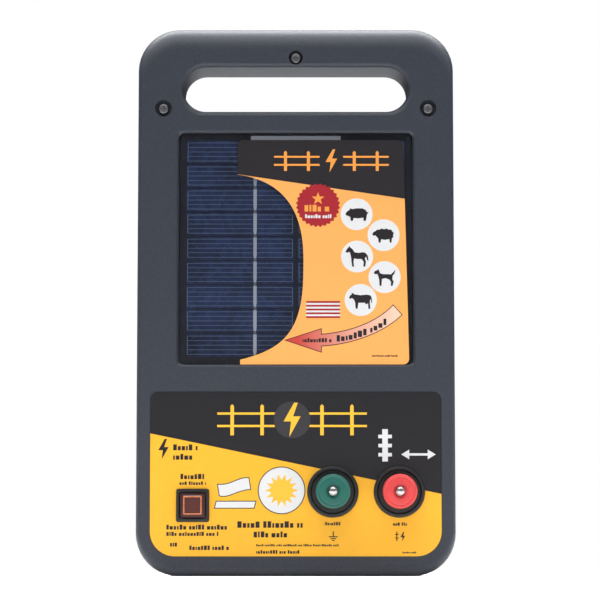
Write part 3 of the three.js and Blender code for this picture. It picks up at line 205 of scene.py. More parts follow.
def combined(base, tools, operation):
    """The base solid joined to, or cut by, each of the tools."""
    scratch = [into_object(bm, "scratch") for bm in [base, *tools]]
    for tool in scratch[1:]:
        cutter = scratch[0].modifiers.new("cut", "BOOLEAN")
        cutter.operation, cutter.object, cutter.solver = operation, tool, "EXACT"
    graph = bpy.context.evaluated_depsgraph_get()
    mesh = bpy.data.meshes.new_from_object(scratch[0].evaluated_get(graph))
    result = bmesh.new()
    result.from_mesh(mesh)
    for made in scratch:
        bpy.data.meshes.remove(made.data)
    bpy.data.meshes.remove(mesh)
    bmesh.ops.remove_doubles(result, verts=result.verts, dist=0.001)
    return result


def cut(base, *tools):
    return combined(base, tools, "DIFFERENCE")


def joined(base, *tools):
    return combined(base, tools, "UNION")


def piece(name, bm, material, nodes=(), body="case", round_mm=0.0, sharp_degrees=32):
    """Makes a finished piece of a mesh drawn in millimetres, on its CAD body."""
    to_metres = Matrix.Translation((0, FACE_Y, 0)) @ Matrix.Scale(MM, 4)
    bmesh.ops.transform(bm, verts=bm.verts, matrix=to_metres)
    made = into_object(bm, name)
    made.data.materials.append(material)
    made.data.shade_smooth()
    made.data.set_sharp_from_angle(angle=math.radians(sharp_degrees))
    if round_mm:
        edge = made.modifiers.new("rounded edges", "BEVEL")
        edge.width, edge.segments, edge.limit_method = round_mm * MM, 3, "ANGLE"
        edge.angle_limit, edge.harden_normals = math.radians(sharp_degrees), False
    shading = made.modifiers.new("flat faces shade flat", "WEIGHTED_NORMAL")
    shading.keep_sharp = True
    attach(made, body)
    if nodes:
        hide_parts(*nodes)
    return made


WALL = 2.6
TOP_ROUND, SIDE_ROUND, BOTTOM_ROUND, ROUND_DEPTH = 15.0, 3.0, 5.0, 9.0
CORNER_RADIUS = 29.0
ROUND_STEPS = 10
CLEARANCE = 0.1
case_low, case_high = place("front_shell")
case_low.z = place("rear_shell")[0].z
seam = place("case_seal")[0].y - CLEARANCE

# Spark-eroded grain softens the blue-grey plastic's reflections to a faintly speckled satin.
slate_abs = moulded("slate ABS, spark-eroded grain", "#2e333e", 0.5, 1.0, 0.12, 0.24)


def case_sheet(y):
    return sheet(case_low.x, case_high.x, case_low.z, case_high.z, CORNER_RADIUS, y)


def quarter(steps):
    """Pairs that run round a quarter circle, from (0, 1) to (1, 0)."""
    turns = [i / steps * math.pi / 2 for i in range(steps + 1)]
    return [(1 - math.cos(turn), 1 - math.sin(turn)) for turn in turns]


front_steps = [
    (ROUND_DEPTH * back, SIDE_ROUND * inward, TOP_ROUND * inward, BOTTOM_ROUND * inward)
    for back, inward in quarter(ROUND_STEPS)
]
front = drawn(case_sheet(seam), [(seam, 0, 0, 0), *reversed(front_steps)])
front_hollow = drawn(
    case_sheet(seam + 1),
    [
        (seam + 1, WALL, WALL, WALL),
        (ROUND_DEPTH + WALL, WALL + 0.4, WALL + 0.4, WALL + 0.4),
        (WALL, SIDE_ROUND + WALL, TOP_ROUND + WALL, BOTTOM_ROUND + WALL),
    ],
)

# The hand hole runs through both shells, with its edges rolled over on both faces.
HOLE_HALF_WIDTH, HOLE_LOW, HOLE_HIGH, HOLE_ROUND, HANDLE_DEPTH = 77.5, 319.0, 350.0, 3.5, 42.0


def hand_hole():
    end_radius = (HOLE_HIGH - HOLE_LOW) / 2 - 0.01
    hole = sheet(-HOLE_HALF_WIDTH, HOLE_HALF_WIDTH, HOLE_LOW, HOLE_HIGH, end_radius, -1, 12)
    near = [(HOLE_ROUND * back, -HOLE_ROUND * inward) for back, inward in quarter(6)]
    far = [(HANDLE_DEPTH - depth, out) for depth, out in reversed(near)]
    steps = [(depth, out, out, out) for depth, out in near + far]
    mouth = (-HOLE_ROUND, -HOLE_ROUND, -HOLE_ROUND)
    return drawn(hole, [(-1, *mouth), *steps, (HANDLE_DEPTH + 1, *mouth)])


panel_low, panel_high = place("solar_glass")
PANEL_FIT = 0.3
POCKET_DEPTH = place("solar_seal")[1].y + 0.1
POCKET_FLARE = 1.4
PANEL_RADIUS = 4.0


def panel_sheet(y):
    return sheet(
        panel_low.x - PANEL_FIT,
        panel_high.x + PANEL_FIT,
        panel_low.z - PANEL_FIT,
        panel_high.z + PANEL_FIT,
        PANEL_RADIUS,
        y,
        6,
    )


pocket = drawn(
    panel_sheet(-1),
    [
        (-1, -POCKET_FLARE, -POCKET_FLARE, -POCKET_FLARE),
        (0, -POCKET_FLARE, -POCKET_FLARE, -POCKET_FLARE),
        (panel_low.y, 0, 0, 0),
        (POCKET_DEPTH, 0, 0, 0),
    ],
)
tray = drawn(panel_sheet(1), [(1, -WALL, -WALL, -WALL), (POCKET_DEPTH + WALL, -WALL, -WALL, -WALL)])
grip_wall = drawn(
    sheet(
        -HOLE_HALF_WIDTH - WALL,
        HOLE_HALF_WIDTH + WALL,
        HOLE_LOW - WALL,
        HOLE_HIGH + WALL,
        (HOLE_HIGH - HOLE_LOW) / 2 + WALL - 0.01,
        1,
    ),
    [(1, 0, 0, 0), (seam, 0, 0, 0)],
)

label_low, label_high = place("front_label")
LABEL_RADII = (17.0, 17.0, 5.5, 5.5)
LABEL_RECESS, LABEL_FIT = 0.5, 0.3
label_recess = drawn(
    sheet(
        label_low.x - LABEL_FIT,
        label_high.x + LABEL_FIT,
        label_low.z - LABEL_FIT,
        label_high.z + LABEL_FIT,
        LABEL_RADII,
        -1,
    ),
    [(-1, 0, 0, 0), (LABEL_RECESS, 0, 0, 0)],
)
handle_screws = ["handle_screw_top", "handle_screw_left", "handle_screw_right"]
COUNTERBORE = {"handle_screw_top": 4.9, "handle_screw_left": 5.8, "handle_screw_right": 5.8}
SCREW_BORE, CASE_POST, BOARD_POST = 1.9, 4.0, 3.6
BOARD_HOLE = 5.0  # from the board's edges to its screws
bores, bosses = [], []
for node in handle_screws:
    at = middle(node)
    bores += [bar(at.x, at.z, COUNTERBORE[node], -1, 4), bar(at.x, at.z, SCREW_BORE, 3, seam + 1, 16)]
    bosses.append(bar(at.x, at.z, COUNTERBORE[node] + 1.6, 1, seam - CLEARANCE))

# Behind the face, blind posts take the four case screws, and shorter ones the board's corners.
case_screws = [f"case_screw_{row}_{side}" for row in ("lower", "upper") for side in ("left", "right")]
for node in case_screws:
    at = middle(node)
    bosses.append(bar(at.x, at.z, CASE_POST, 1, seam - CLEARANCE, 32))
    bores.append(bar(at.x, at.z, SCREW_BORE, 6, seam + 1, 16))
board_low, board_high = place("circuit_board")
for x in (board_low.x + BOARD_HOLE, board_high.x - BOARD_HOLE):
    for z in (board_low.z + BOARD_HOLE, board_high.z - BOARD_HOLE):
        bosses.append(bar(x, z, BOARD_POST, 1, board_low.y - CLEARANCE, 32))
        bores.append(bar(x, z, SCREW_BORE, 12, board_low.y + 1, 16))
lamp_at = middle("lamp_bezel")
terminals = {"ground": middle("ground_stud"), "fence": middle("fence_stud")}
COLLAR_HOLE = 5.9
bores += [bar(at.x, at.z, COLLAR_HOLE, -1, WALL + 1) for at in terminals.values()]
LAMP_HOLE = 10.2
bores.append(
    block(
        lamp_at.x - LAMP_HOLE,
        lamp_at.x + LAMP_HOLE,
        lamp_at.z - LAMP_HOLE,
        lamp_at.z + LAMP_HOLE,
        1,
        -1,
        WALL + 1,
    )
)
front = cut(front, front_hollow)
front = joined(front, tray, grip_wall, *bosses)
front = cut(front, pocket, hand_hole(), label_recess, *bores)
piece("case_front", front, slate_abs, ["front_shell"])

# ---- Rear shell ----------------------------------------------------------------------------------
# The rear half, moulded in the same ABS. Above the panel its back slopes in to the thin handle.
# It holds the post socket's well, the battery bay, the switch and the rating plate, and the case
# screws go in through deep bores. A rubber seal is squeezed between the halves.

CASE_DEPTH = 94.0
BACK_ROUND, BACK_DRAFT = 6.0, 1.6
SLOPE_FROM, SLOPE_TO = Vector((0, CASE_DEPTH, 205)), Vector((0, HANDLE_DEPTH, 300))
rear_start = place("case_seal")[1].y + CLEARANCE


def rear_block(start, back_y, wall, draft, rounding):
    steps = [(start, wall, wall, wall)]
    for inward, along in quarter(8):
        inset = wall + rounding * inward
        steps.append((back_y - rounding * along, inset + draft, inset + draft, inset))
    return drawn(case_sheet(start), steps)


def sloped(bm, wall):
    """Cuts off all that stands behind the sloping back, less a wall."""
    outward = Vector((0, SLOPE_TO.z - SLOPE_FROM.z, SLOPE_FROM.y - SLOPE_TO.y)).normalized()
    made = bmesh.ops.bisect_plane(
        bm,
        geom=bm.verts[:] + bm.edges[:] + bm.faces[:],
        plane_co=SLOPE_FROM - outward * wall,
        plane_no=outward,
        clear_outer=True,
    )
    rim = [edge for edge in made["geom_cut"] if isinstance(edge, bmesh.types.BMEdge)]
    bmesh.ops.holes_fill(bm, edges=rim)
    bmesh.ops.recalc_face_normals(bm, faces=bm.faces)
    return bm


sleeve_low, sleeve_high = place("post_sleeve")
WELL_Y = (sleeve_low.y + sleeve_high.y) / 2
WELL_RADIUS = (sleeve_high.y - sleeve_low.y) / 2 + 0.4
WELL_TOP = sleeve_high.z + 2
LOCK_Z = middle("lock_insert").z
LOCK_FACE = place("lock_insert")[1].y
door_low, door_high = place("battery_door")
DOOR_LIP, DOOR_EAR, DOOR_THICKNESS, DOOR_SEAT = 3.5, 11.0, 2.4, 90.8
bay = (door_low.x + DOOR_LIP, door_high.x - DOOR_LIP, door_low.z + DOOR_LIP, door_high.z - DOOR_EAR)
plate_low, plate_high = place("rating_plate")
switch_at = middle("switch_frame")
door_screws = ["door_screw_left", "door_screw_right"]


def around(low, high, grow, radius, y0, y1, segments=6):
    """A block that stands round a CAD box, larger than it by a margin."""
    return block(low.x - grow, high.x + grow, low.z - grow, high.z + grow, radius, y0, y1, segments)


outer = joined(
    sloped(rear_block(rear_start, CASE_DEPTH, 0, BACK_DRAFT, BACK_ROUND), 0),
    rear_block(rear_start, HANDLE_DEPTH, 0, 0, BACK_ROUND),
)
inner = joined(
    sloped(rear_block(rear_start - 1, CASE_DEPTH - WALL, WALL, BACK_DRAFT, BACK_ROUND - 2), WALL),
    rear_block(rear_start - 1, HANDLE_DEPTH - WALL, WALL, 0, BACK_ROUND - 2),
)
grip_outline = (-HOLE_HALF_WIDTH - WALL, HOLE_HALF_WIDTH + WALL, HOLE_LOW - WALL, HOLE_HIGH + WALL)
grip_radius = (HOLE_HIGH - HOLE_LOW) / 2 + WALL - 0.01
grip_start = seam + 2 * CLEARANCE
inside = joined(
    upright(0, WELL_Y, WELL_RADIUS + WALL, 0, WELL_TOP + WALL),
    block(-12, 12, LOCK_Z - 12, LOCK_Z + 12, 0.5, WELL_Y, CASE_DEPTH - 1),
    around(door_low, door_high, WALL, 3, CASE_DEPTH - 5.4, CASE_DEPTH - 1),
    block(*grip_outline, grip_radius, grip_start, HANDLE_DEPTH - 1, 12),
    *[bar(middle(node).x, middle(node).z, 6.6, rear_start, CASE_DEPTH - 1) for node in case_screws],
)
reach = joined(outer.copy(), block(*grip_outline, grip_radius, grip_start, rear_start + 1, 12))
inside = combined(inside, [reach], "INTERSECT")
boss = bar(0, LOCK_Z, 9.5, CASE_DEPTH - WALL, LOCK_FACE)
bmesh.ops.bevel(
    boss,
    geom=[edge for edge in boss.edges if min(v.co.y for v in edge.verts) > LOCK_FACE - 0.1],
    offset=0.8,
    affect="EDGES",
    segments=3,
    profile=0.5,
    material=-1,
)
rear = joined(cut(outer, inner), inside, boss)
CASE_SCREW_SEAT = rear_start + 9
SCREW_HEAD_BORE = 4.6
switch_hole = (switch_at.x - 7.5, switch_at.x + 7.5, switch_at.z - 9.5, switch_at.z + 9.5)
case_screw_places = [middle(node) for node in case_screws]
door_screw_places = [middle(node) for node in door_screws]
rear = cut(
    rear,
    hand_hole(),
    upright(0, WELL_Y, WELL_RADIUS, -1, WELL_TOP),
    block(*bay, 1, CASE_DEPTH - 12, CASE_DEPTH + 1),
    around(door_low, door_high, 0.3, 3, DOOR_SEAT, CASE_DEPTH + 1),
    bar(0, LOCK_Z, 5.6, LOCK_FACE - 5.4, LOCK_FACE + 1),
    bar(0, LOCK_Z, 4.7, WELL_Y, LOCK_FACE + 1),
    block(*switch_hole, 0.5, CASE_DEPTH - 6, CASE_DEPTH + 1),
    around(plate_low, plate_high, 0.3, 2.3, plate_low.y - 0.1, CASE_DEPTH + 1),
    *[bar(at.x, at.z, SCREW_HEAD_BORE, CASE_SCREW_SEAT, CASE_DEPTH + 1) for at in case_screw_places],
    *[
        bar(at.x, at.z, SCREW_BORE, rear_start - 1, CASE_DEPTH, 16)
        for at in case_screw_places + door_screw_places
    ],
)
piece("case_rear", rear, slate_abs, ["rear_shell"])

# Rubber is almost black and matt, with no clear reflection.
rubber = moulded("black EPDM rubber, moulded", "#1b1b1c", 0.75, 0.6, 0.02, 0.08, 1.52)
seal_low, seal_high = place("case_seal")
seal = drawn(case_sheet(seal_low.y), [(seal_low.y, 0.6, 0.6, 0.6), (seal_high.y, 0.6, 0.6, 0.6)])
seal_inset = (WALL, WALL, WALL)
seal_inside = drawn(case_sheet(seam - 1), [(seam - 1, *seal_inset), (rear_start + 1, *seal_inset)])
piece("seam_seal", cut(seal, seal_inside), rubber, ["case_seal"])


# The rating plate is satin polyester film printed in black. Its words and figures are left as
# plain bars.
def metal(name, hex_colour, roughness, streak_mm=(0.12, 0.12, 0.12), uneven=0.1):
    """A plain metal: its polish varies in fine streaks, of the size given along X, Y and Z."""
    material, tree = new_material(name)
    where = add(tree, "TexCoord").outputs["Object"]
    stretch = add(tree, "Mapping", {"Vector": where, "Scale": [1 / (s * MM) for s in streak_mm]})
    streaks = add(tree, "TexNoise", {"Vector": stretch.outputs["Vector"], "Scale": 1, "Detail": 2})
    polish = add(
        tree,
        "MapRange",
        {"Value": streaks.outputs["Fac"], "To Min": roughness - uneven, "To Max": roughness + uneven},
    ).outputs["Result"]
    bump = add(tree, "Bump", {"Height": streaks.outputs["Fac"], "Strength": 0.3, "Distance": 0.01 * MM})
    inputs = {"Base Color": linear(hex_colour), "Metallic": 1, "Roughness": polish}
    finished(tree, {**inputs, "Normal": bump.outputs["Normal"]})
    return material


def printed(name, hex_colour, roughness=0.4, mottle=0.03, gloss_coat=0.0):
    """Printing ink: an even colour, with the faint mottle and orange peel that screen printing
    leaves."""
    material, tree = new_material(name)
    where = add(tree, "TexCoord").outputs["Object"]
    cloud = add(tree, "TexNoise", {"Vector": where, "Scale": 1 / (4 * MM), "Detail": 3}).outputs["Fac"]
    spread = {"To Min": 1 - mottle, "To Max": 1 + mottle}
    tone = add(tree, "MapRange", {"Value": cloud, **spread}).outputs["Result"]
    colour = add(
        tree, "VectorMath", {0: linear(hex_colour)[:3], "Scale": tone}, operation="SCALE"
    ).outputs["Vector"]
    bump = add(tree, "Bump", {"Height": cloud, "Strength": 0.15, "Distance": 0.05 * MM})
    inputs = {"Base Color": colour, "Roughness": roughness, "Normal": bump.outputs["Normal"]}
    inputs["Specular IOR Level"] = 0.3
    finished(tree, {**inputs, "Coat Weight": gloss_coat, "Coat Roughness": 0.12})
    return material


def stamp(bm, points, face_y, level=0, mirror=False):
    """Prints a flat shape, given by its outline in X and Z, on a face. Each level lies on the one
    below; on the back of the case the shapes stand out the other way."""
    lift = 0.02 * (level + 1) * (1 if mirror else -1)
    verts = [bm.verts.new((x, face_y, z)) for x, z in points]
    face = bm.faces.new(verts)
    made = bmesh.ops.extrude_face_region(bm, geom=[face])["geom"]
    moved = [v for v in made if isinstance(v, bmesh.types.BMVert)]
    bmesh.ops.translate(bm, verts=moved, vec=(0, lift, 0))


def oblong(x0, x1, z0, z1):
    return [(x0, z0), (x1, z0), (x1, z1), (x0, z1)]


LETTERS = (0.62, 0.5, 0.56, 0.3, 0.6, 0.48, 0.66, 0.52, 0.36, 0.58)
TALL = (1.0, 0.72, 0.72, 1.0, 0.72, 0.72, 0.95, 0.72, 1.0, 0.72)
WORDS = (5, 7, 4, 9, 3, 6)


def line_of_type(x0, x1, z, height, start=0):
    """Outlines that stand for a line of type, as plain bars in word-sized groups."""
    shapes, x, count, word, letter = [], x0, 0, start, start
    while x < x1 - 0.3 * height:
        width = LETTERS[letter % 10] * height
        right = min(x + width, x1)
        foot = z - height / 2
        shapes.append(oblong(x, right, foot, foot + TALL[(letter * 7 + start) % 10] * height))
        x = right + 0.17 * height
        letter, count = letter + 1, count + 1
        if count == WORDS[word % 6]:
            x, count, word = x + 0.4 * height, 0, word + 1
    return shapes


def print_piece(name, bm, material):
    bmesh.ops.recalc_face_normals(bm, faces=bm.faces)
    return piece(name, bm, material)


# The satin film spreads its reflections to a soft silver, with fine lines across it.
satin_polyester = metal("satin silver polyester film", "#b9bcbe", 0.45, (6, 6, 0.15), 0.08)
plate = around(plate_low, plate_high, 0, 2, plate_low.y, plate_high.y)
piece("rating_label", plate, satin_polyester, ["rating_plate"])
plate_ink = bmesh.new()
plate_back = plate_high.y
edge_x, edge_z = plate_high.x - 1.2, (plate_low.z + 1.2, plate_high.z - 1.2)
for outline in (
    oblong(-edge_x, edge_x, edge_z[0], edge_z[0] + 0.35),
    oblong(-edge_x, edge_x, edge_z[1] - 0.35, edge_z[1]),
    oblong(-edge_x, -edge_x + 0.35, *edge_z),
    oblong(edge_x - 0.35, edge_x, *edge_z),
    oblong(-edge_x, edge_x, 183.4, 183.7),
    oblong(2.0, 2.3, edge_z[0], 183.4),
    *line_of_type(-21, 4, 187.6, 2.6, 1),
    *line_of_type(9, 20.5, 187.2, 1.6, 2),
    *line_of_type(-21, -2, 180.6, 1.4, 3),
    *line_of_type(-21, -5, 178, 1.4, 4),
    *line_of_type(4.5, 20, 180.6, 1.4, 5),
    *line_of_type(4.5, 16, 178, 1.4, 6),
):
    stamp(plate_ink, outline, plate_back, mirror=True)
print_piece("rating_label_ink", plate_ink, printed("black screen ink", "#1d1d1f", 0.45))

# ---- Solar panel ---------------------------------------------------------------------------------
# Nine cells a side of blue multicrystalline silicon, with thin silver fingers that a tinned copper
# ribbon joins, laid on a black backsheet under hardened glass. A rubber seal beds it in its pocket.

glass, glass_tree = new_material("hardened glass, clear float")
# The sheet is thin and clear, so nearly all of it lets light straight through. The rest is gloss.
where = add(glass_tree, "TexCoord").outputs["Object"]
haze = add(glass_tree, "TexNoise", {"Vector": where, "Scale": 1 / (40 * MM)})
haze_range = {"Value": haze.outputs["Fac"], "To Min": 0.03, "To Max": 0.09}
smooth = add(glass_tree, "MapRange", haze_range).outputs["Result"]
finished(
    glass_tree,
    {"Base Color": linear("#0c100f"), "Alpha": 0.1, "Roughness": smooth, "IOR": 1.52},
)
pane_low, pane_high = place("solar_glass")
pane = around(pane_low, pane_high, 0, 3.7, pane_low.y, pane_high.y)
piece("panel_glass", pane, glass, ["solar_glass"], round_mm=0.25)

cell_low, cell_high = place("solar_cells_left")
CELL_ROWS, CELL_GAP = 9, 1.0
RIBBON_X, RIBBON_WIDTH = 28.0, 1.9
cell_face = place("solar_link_ribbon")[1].y
row_bottom = cell_low.z
cell_pitch = (cell_high.z - row_bottom + CELL_GAP) / CELL_ROWS

silicon, silicon_tree = new_material("blue multicrystalline silicon")
# The wafer is a patchwork of crystals a few millimetres long, each a slightly different blue.
where = add(silicon_tree, "TexCoord").outputs["Object"]
crystal = add(silicon_tree, "TexVoronoi", {"Vector": where, "Scale": 1 / (3.2 * MM), "Randomness": 1})
shade = add(silicon_tree, "SeparateColor", {"Color": crystal.outputs["Color"]}).outputs["Red"]
patches = {"Vector": where, "Scale": 1 / (34 * MM), "Detail": 1}
broad = add(silicon_tree, "TexNoise", patches).outputs["Fac"]
mixed = add(silicon_tree, "Math", {0: shade, 1: 0.35}, operation="MULTIPLY").outputs["Value"]
level = add(silicon_tree, "Math", {0: mixed, 1: broad}, operation="ADD").outputs["Value"]
blues = add(silicon_tree, "ValToRGB", {"Fac": level})
blues.color_ramp.elements[0].position = 0.3
blues.color_ramp.elements[1].position = 1.0
blues.color_ramp.elements[0].color = linear("#151c30")
blues.color_ramp.elements[1].color = linear("#2b3d66")
finished(
    silicon_tree,
    {
        "Base Color": blues.outputs["Color"],
        "Roughness": 0.4,
        "IOR": 1.45,
        "Coat Weight": 0.25,
        "Coat Roughness": 0.08,
        "Coat IOR": 1.4,
    },
)
# Tin shows pale and satin with faint streaks, and where it has dulled it is mid grey. The fingers
# of fired paste are a matt blue-grey against the cells.
tinned = metal("tinned copper ribbon", "#c3c9d6", 0.5, (0.2, 0.2, 1.5), 0.12)
dull_ribbon = metal("copper ribbon, dull tin", "#7b8088", 0.55, (0.2, 0.2, 1.5), 0.1)
silver_paste = metal("fired silver paste", "#7b86a3", 0.55, (0.3, 0.3, 0.3), 0.1)

FINGERS, FINGER_WIDTH, FINGER_MARGIN = 5, 0.28, 1.0
for side, left, right in (("left", cell_low.x, cell_high.x), ("right", -cell_high.x, -cell_low.x)):
    wafers = bmesh.new()
    fingers = bmesh.new()
    sign = -1 if side == "left" else 1
    outer_end, inner_end = (left, right) if sign < 0 else (right, left)
    for row in range(CELL_ROWS):
        z0 = row_bottom + row * cell_pitch
        z1 = z0 + cell_pitch - CELL_GAP
        verts = bmesh.ops.create_cube(wafers, size=1)["verts"]
        bmesh.ops.scale(wafers, verts=verts, vec=(right - left, 0.3, z1 - z0))
        bmesh.ops.translate(wafers, verts=verts, vec=((left + right) / 2, cell_face + 0.15, (z0 + z1) / 2))
        step = (z1 - z0) / FINGERS
        for finger in range(FINGERS):
            z = z0 + (finger + 0.5) * step
            ends = sorted((outer_end - sign * FINGER_MARGIN, inner_end + sign * FINGER_MARGIN))
            stamp(fingers, oblong(*ends, z - FINGER_WIDTH / 2, z + FINGER_WIDTH / 2), cell_face)
        for x in (outer_end - sign * FINGER_MARGIN, inner_end + sign * FINGER_MARGIN):
            stamp(fingers, oblong(x - 0.2, x + 0.2, z0 + step / 2, z1 - step / 2), cell_face, 1)
    piece(f"cells_{side}", wafers, silicon, [f"solar_cells_{side}"])
    bmesh.ops.recalc_face_normals(fingers, faces=fingers.faces)
    piece(f"cell_fingers_{side}", fingers, silver_paste)
    # Each ribbon is soldered at every cell and dips between them.
    ribbon = block(
        sign * RIBBON_X - RIBBON_WIDTH / 2,
        sign * RIBBON_X + RIBBON_WIDTH / 2,
        row_bottom + 1,
        cell_high.z,
        0.2,
        cell_face - 0.15,
        cell_face - 0.05,
        2,
    )
    for row in range(CELL_ROWS):
        for z in (row_bottom + (row + 1) * cell_pitch - 1.6, row_bottom + (row + 1) * cell_pitch + 0.6):
            everything = ribbon.verts[:] + ribbon.edges[:] + ribbon.faces[:]
            bmesh.ops.bisect_plane(ribbon, geom=everything, plane_co=(0, 0, z), plane_no=(0, 0, 1))
    for vert in ribbon.verts:
        dip = (vert.co.z - row_bottom + 0.5) % cell_pitch
        if dip < 1.7:
            vert.co.y += 0.04
    piece(f"busbar_{side}", ribbon, dull_ribbon)
    solder = bmesh.new()
    for row in range(CELL_ROWS):
        low, high = row_bottom + row * cell_pitch + 0.9, row_bottom + (row + 1) * cell_pitch - 1.5
        x, wide, narrow = sign * RIBBON_X, 1.15, 0.75
        right_side = [(x + narrow, low), (x + wide, low + 2.5), (x + wide, high)]
        left_side = [(2 * x - across, z) for across, z in right_side]
        stamp(solder, [left_side[0], *right_side, *left_side[:0:-1]], cell_face - 0.15, 1)
    bmesh.ops.recalc_face_normals(solder, faces=solder.faces)
    piece(f"busbar_solder_{side}", solder, tinned)
link_low, link_high = place("solar_link_ribbon")
link = around(link_low, link_high, 0, 0.3, link_low.y, link_high.y, 2)
piece("link_ribbon", link, tinned, ["solar_link_ribbon"])

# The backsheet is a smooth, blue-black satin between the cells.
polyester_back = moulded("black polyester backsheet", "#181c27", 0.45, 1.4, 0.005, 0.04)
sheet_low, sheet_high = place("solar_backsheet")
backsheet = around(sheet_low, sheet_high, 0, 3.7, sheet_low.y, sheet_high.y)
piece("panel_backsheet", backsheet, polyester_back, ["solar_backsheet"])
bed_low, bed_high = place("solar_seal")
bed = cut(
    around(bed_low, bed_high, 0, 3.7, bed_low.y, bed_high.y),
    around(bed_low, bed_high, -4.7, 1, bed_low.y - 1, bed_high.y + 1),
)
piece("panel_seal", bed, rubber, ["solar_seal"])

# ---- Film on the glass ---------------------------------------------------------------------------
# A thin polyester film stuck on the glass, printed in orange with a black head and cut along one
# side in a long curve. It is peeled off before use. Its printing is plain pictures.

film_low, film_high = place("panel_film")


def bend(start, pull_start, pull_end, end, steps=24):
    """Points along a cubic curve, without its start."""
    points = []
    for i in range(1, steps + 1):
        t = i / steps
        weights = ((1 - t) ** 3, 3 * t * (1 - t) ** 2, 3 * t * t * (1 - t), t**3)
        corners = (start, pull_start, pull_end, end)
        points.append(tuple(sum(w * c[axis] for w, c in zip(weights, corners)) for axis in (0, 1)))
    return points


def fillet(x, z, radius, start, end, steps=8):
    """Points round part of a circle, from one angle to another in degrees."""
    angles = [math.radians(start + (end - start) * i / steps) for i in range(steps + 1)]
    return [(x + radius * math.cos(a), z + radius * math.sin(a)) for a in angles]


def disc(x, z, radius, steps=48):
    return fillet(x, z, radius, 0, 360 - 360 / steps, steps - 1)


WAIST, LEAN = 5.2, 3.4
film_left, film_right, film_bottom, film_top = film_low.x, film_high.x, film_low.z, film_high.z
head_point, foot_point = (film_left, film_top - 24), (film_left + 2, film_bottom + 3.2)
waist_point = (WAIST, film_bottom + 64)
film_outline = [
    (film_left + 2, film_bottom),
    *fillet(film_right - 4, film_bottom + 4, 4, -90, 0),
    *fillet(film_right - LEAN - 4, film_top - 4, 4, 0, 90),
    *fillet(film_left + 4, film_top - 4, 4, 90, 180),
    head_point,
    *bend(head_point, (9.3, film_top - 30.5), (WAIST, film_top - 77), waist_point),
    *bend(waist_point, (WAIST, film_bottom + 21.7), (-9.2, film_bottom + 10.3), foot_point),
]


def flat_piece(points, y0, y1):
    bm = bmesh.new()
    face = bm.faces.new([bm.verts.new((x, y0, z)) for x, z in points])
    made = bmesh.ops.extrude_face_region(bm, geom=[face])["geom"]
    moved = [v for v in made if isinstance(v, bmesh.types.BMVert)]
    bmesh.ops.translate(bm, verts=moved, vec=(0, y1 - y0, 0))
    bmesh.ops.recalc_face_normals(bm, faces=bm.faces)
    return bm


# The film's gloss coat lays a thin clear shine over flat, even inks.
film_orange = printed("orange ink under gloss film", "#f9ae60", 0.35, 0.02, 0.1)
film_black = printed("black ink under gloss film", "#2b292c", 0.35, 0.05, 0.1)
white_ink = printed("white ink", "#dfe0e2", 0.35)
black_ink = printed("black ink", "#262326", 0.4)
red_ink = printed("red ink", "#a52a33", 0.35)
film = flat_piece(film_outline, film_low.y, film_high.y)
piece("film", film, film_orange, ["panel_film"])

HEAD_LEFT, HEAD_RIGHT = (film_left - 2, 275.4), (film_right + 2, 257.5)
film_face = film_low.y
head = [HEAD_LEFT, HEAD_RIGHT, (film_right + 2, film_top + 2), (film_left - 2, film_top + 2)]
head_ink = combined(
    flat_piece(film_outline, film_face - 0.02, film_face + 0.01),
    [flat_piece(head, film_face - 1, film_face + 1)],
    "INTERSECT",
)
piece("film_head", head_ink, film_black)


def fence_picture(bm, x0, x1, z0, z1, line, face_y):
    """A run of fence: posts with pointed tops, and two wires across them."""
    posts = 5
    for i in range(posts):
        x = x0 + (x1 - x0) * (i + 0.5) / posts
        half_post = line * 0.8
        post = [(x - half_post, z0), (x + half_post, z0), (x + half_post, z1 - half_post), (x, z1)]
        stamp(bm, [*post, (x - half_post, z1 - half_post)], face_y)
    for share in (0.3, 0.7):
        z = z0 + (z1 - z0) * share
        stamp(bm, oblong(x0, x1, z - line / 2, z + line / 2), face_y, 0.5)


def spark(x, z, size):
    corners = [(0.12, 1), (-0.5, -0.1), (-0.06, -0.1), (-0.16, -1), (0.5, 0.2), (0.06, 0.2), (0.34, 1)]
    return [(x + size * a, z + size * b) for a, b in corners]


# A shade deeper than the film's ground, so that the fence and spark only just show.
orange_mark = printed("orange mark on the film", "#f7a04b", 0.35)
marks = bmesh.new()
fence_picture(marks, -15, 64, 277.5, 291.5, 1.3, film_face - 0.02)
print_piece("film_fence_mark", marks, orange_mark)
marks = bmesh.new()
stamp(marks, disc(24.5, 284.5, 8.6), film_face - 0.02, 1)
print_piece("film_spark_ground", marks, film_black)
marks = bmesh.new()
stamp(marks, spark(24.5, 284.5, 8), film_face - 0.02, 2)
print_piece("film_spark", marks, orange_mark)

# A scalloped red seal, white discs with farm animals, a striped patch and a curved arrow.
marks = bmesh.new()
SEAL_X, SEAL_Z, TEETH = 15.3, 253.6, 28
teeth = [
    (SEAL_X + r * math.cos(math.pi * i / TEETH), SEAL_Z + r * math.sin(math.pi * i / TEETH))
    for i, r in ((i, 15.3 if i % 2 else 14.0) for i in range(2 * TEETH))
]
stamp(marks, teeth, film_face, 1)
print_piece("film_seal", marks, red_ink)
marks = bmesh.new()
star = [
    (SEAL_X + r * math.sin(math.pi * i / 5), SEAL_Z + 4.6 + r * math.cos(math.pi * i / 5))
    for i, r in ((i, 1.9 if i % 2 else 4.6) for i in range(10))
]
for outline in (star, *line_of_type(6, 24.8, 251.6, 4.6, 2)):
    stamp(marks, outline, film_face, 2)
print_piece("film_seal_marks", marks, printed("orange mark on the seal", "#f2a14c", 0.35))
marks = bmesh.new()
for outline in line_of_type(6.4, 24.4, 246.0, 2.6, 5):
    stamp(marks, outline, film_face, 2)
print_piece("film_seal_small_marks", marks, white_ink)

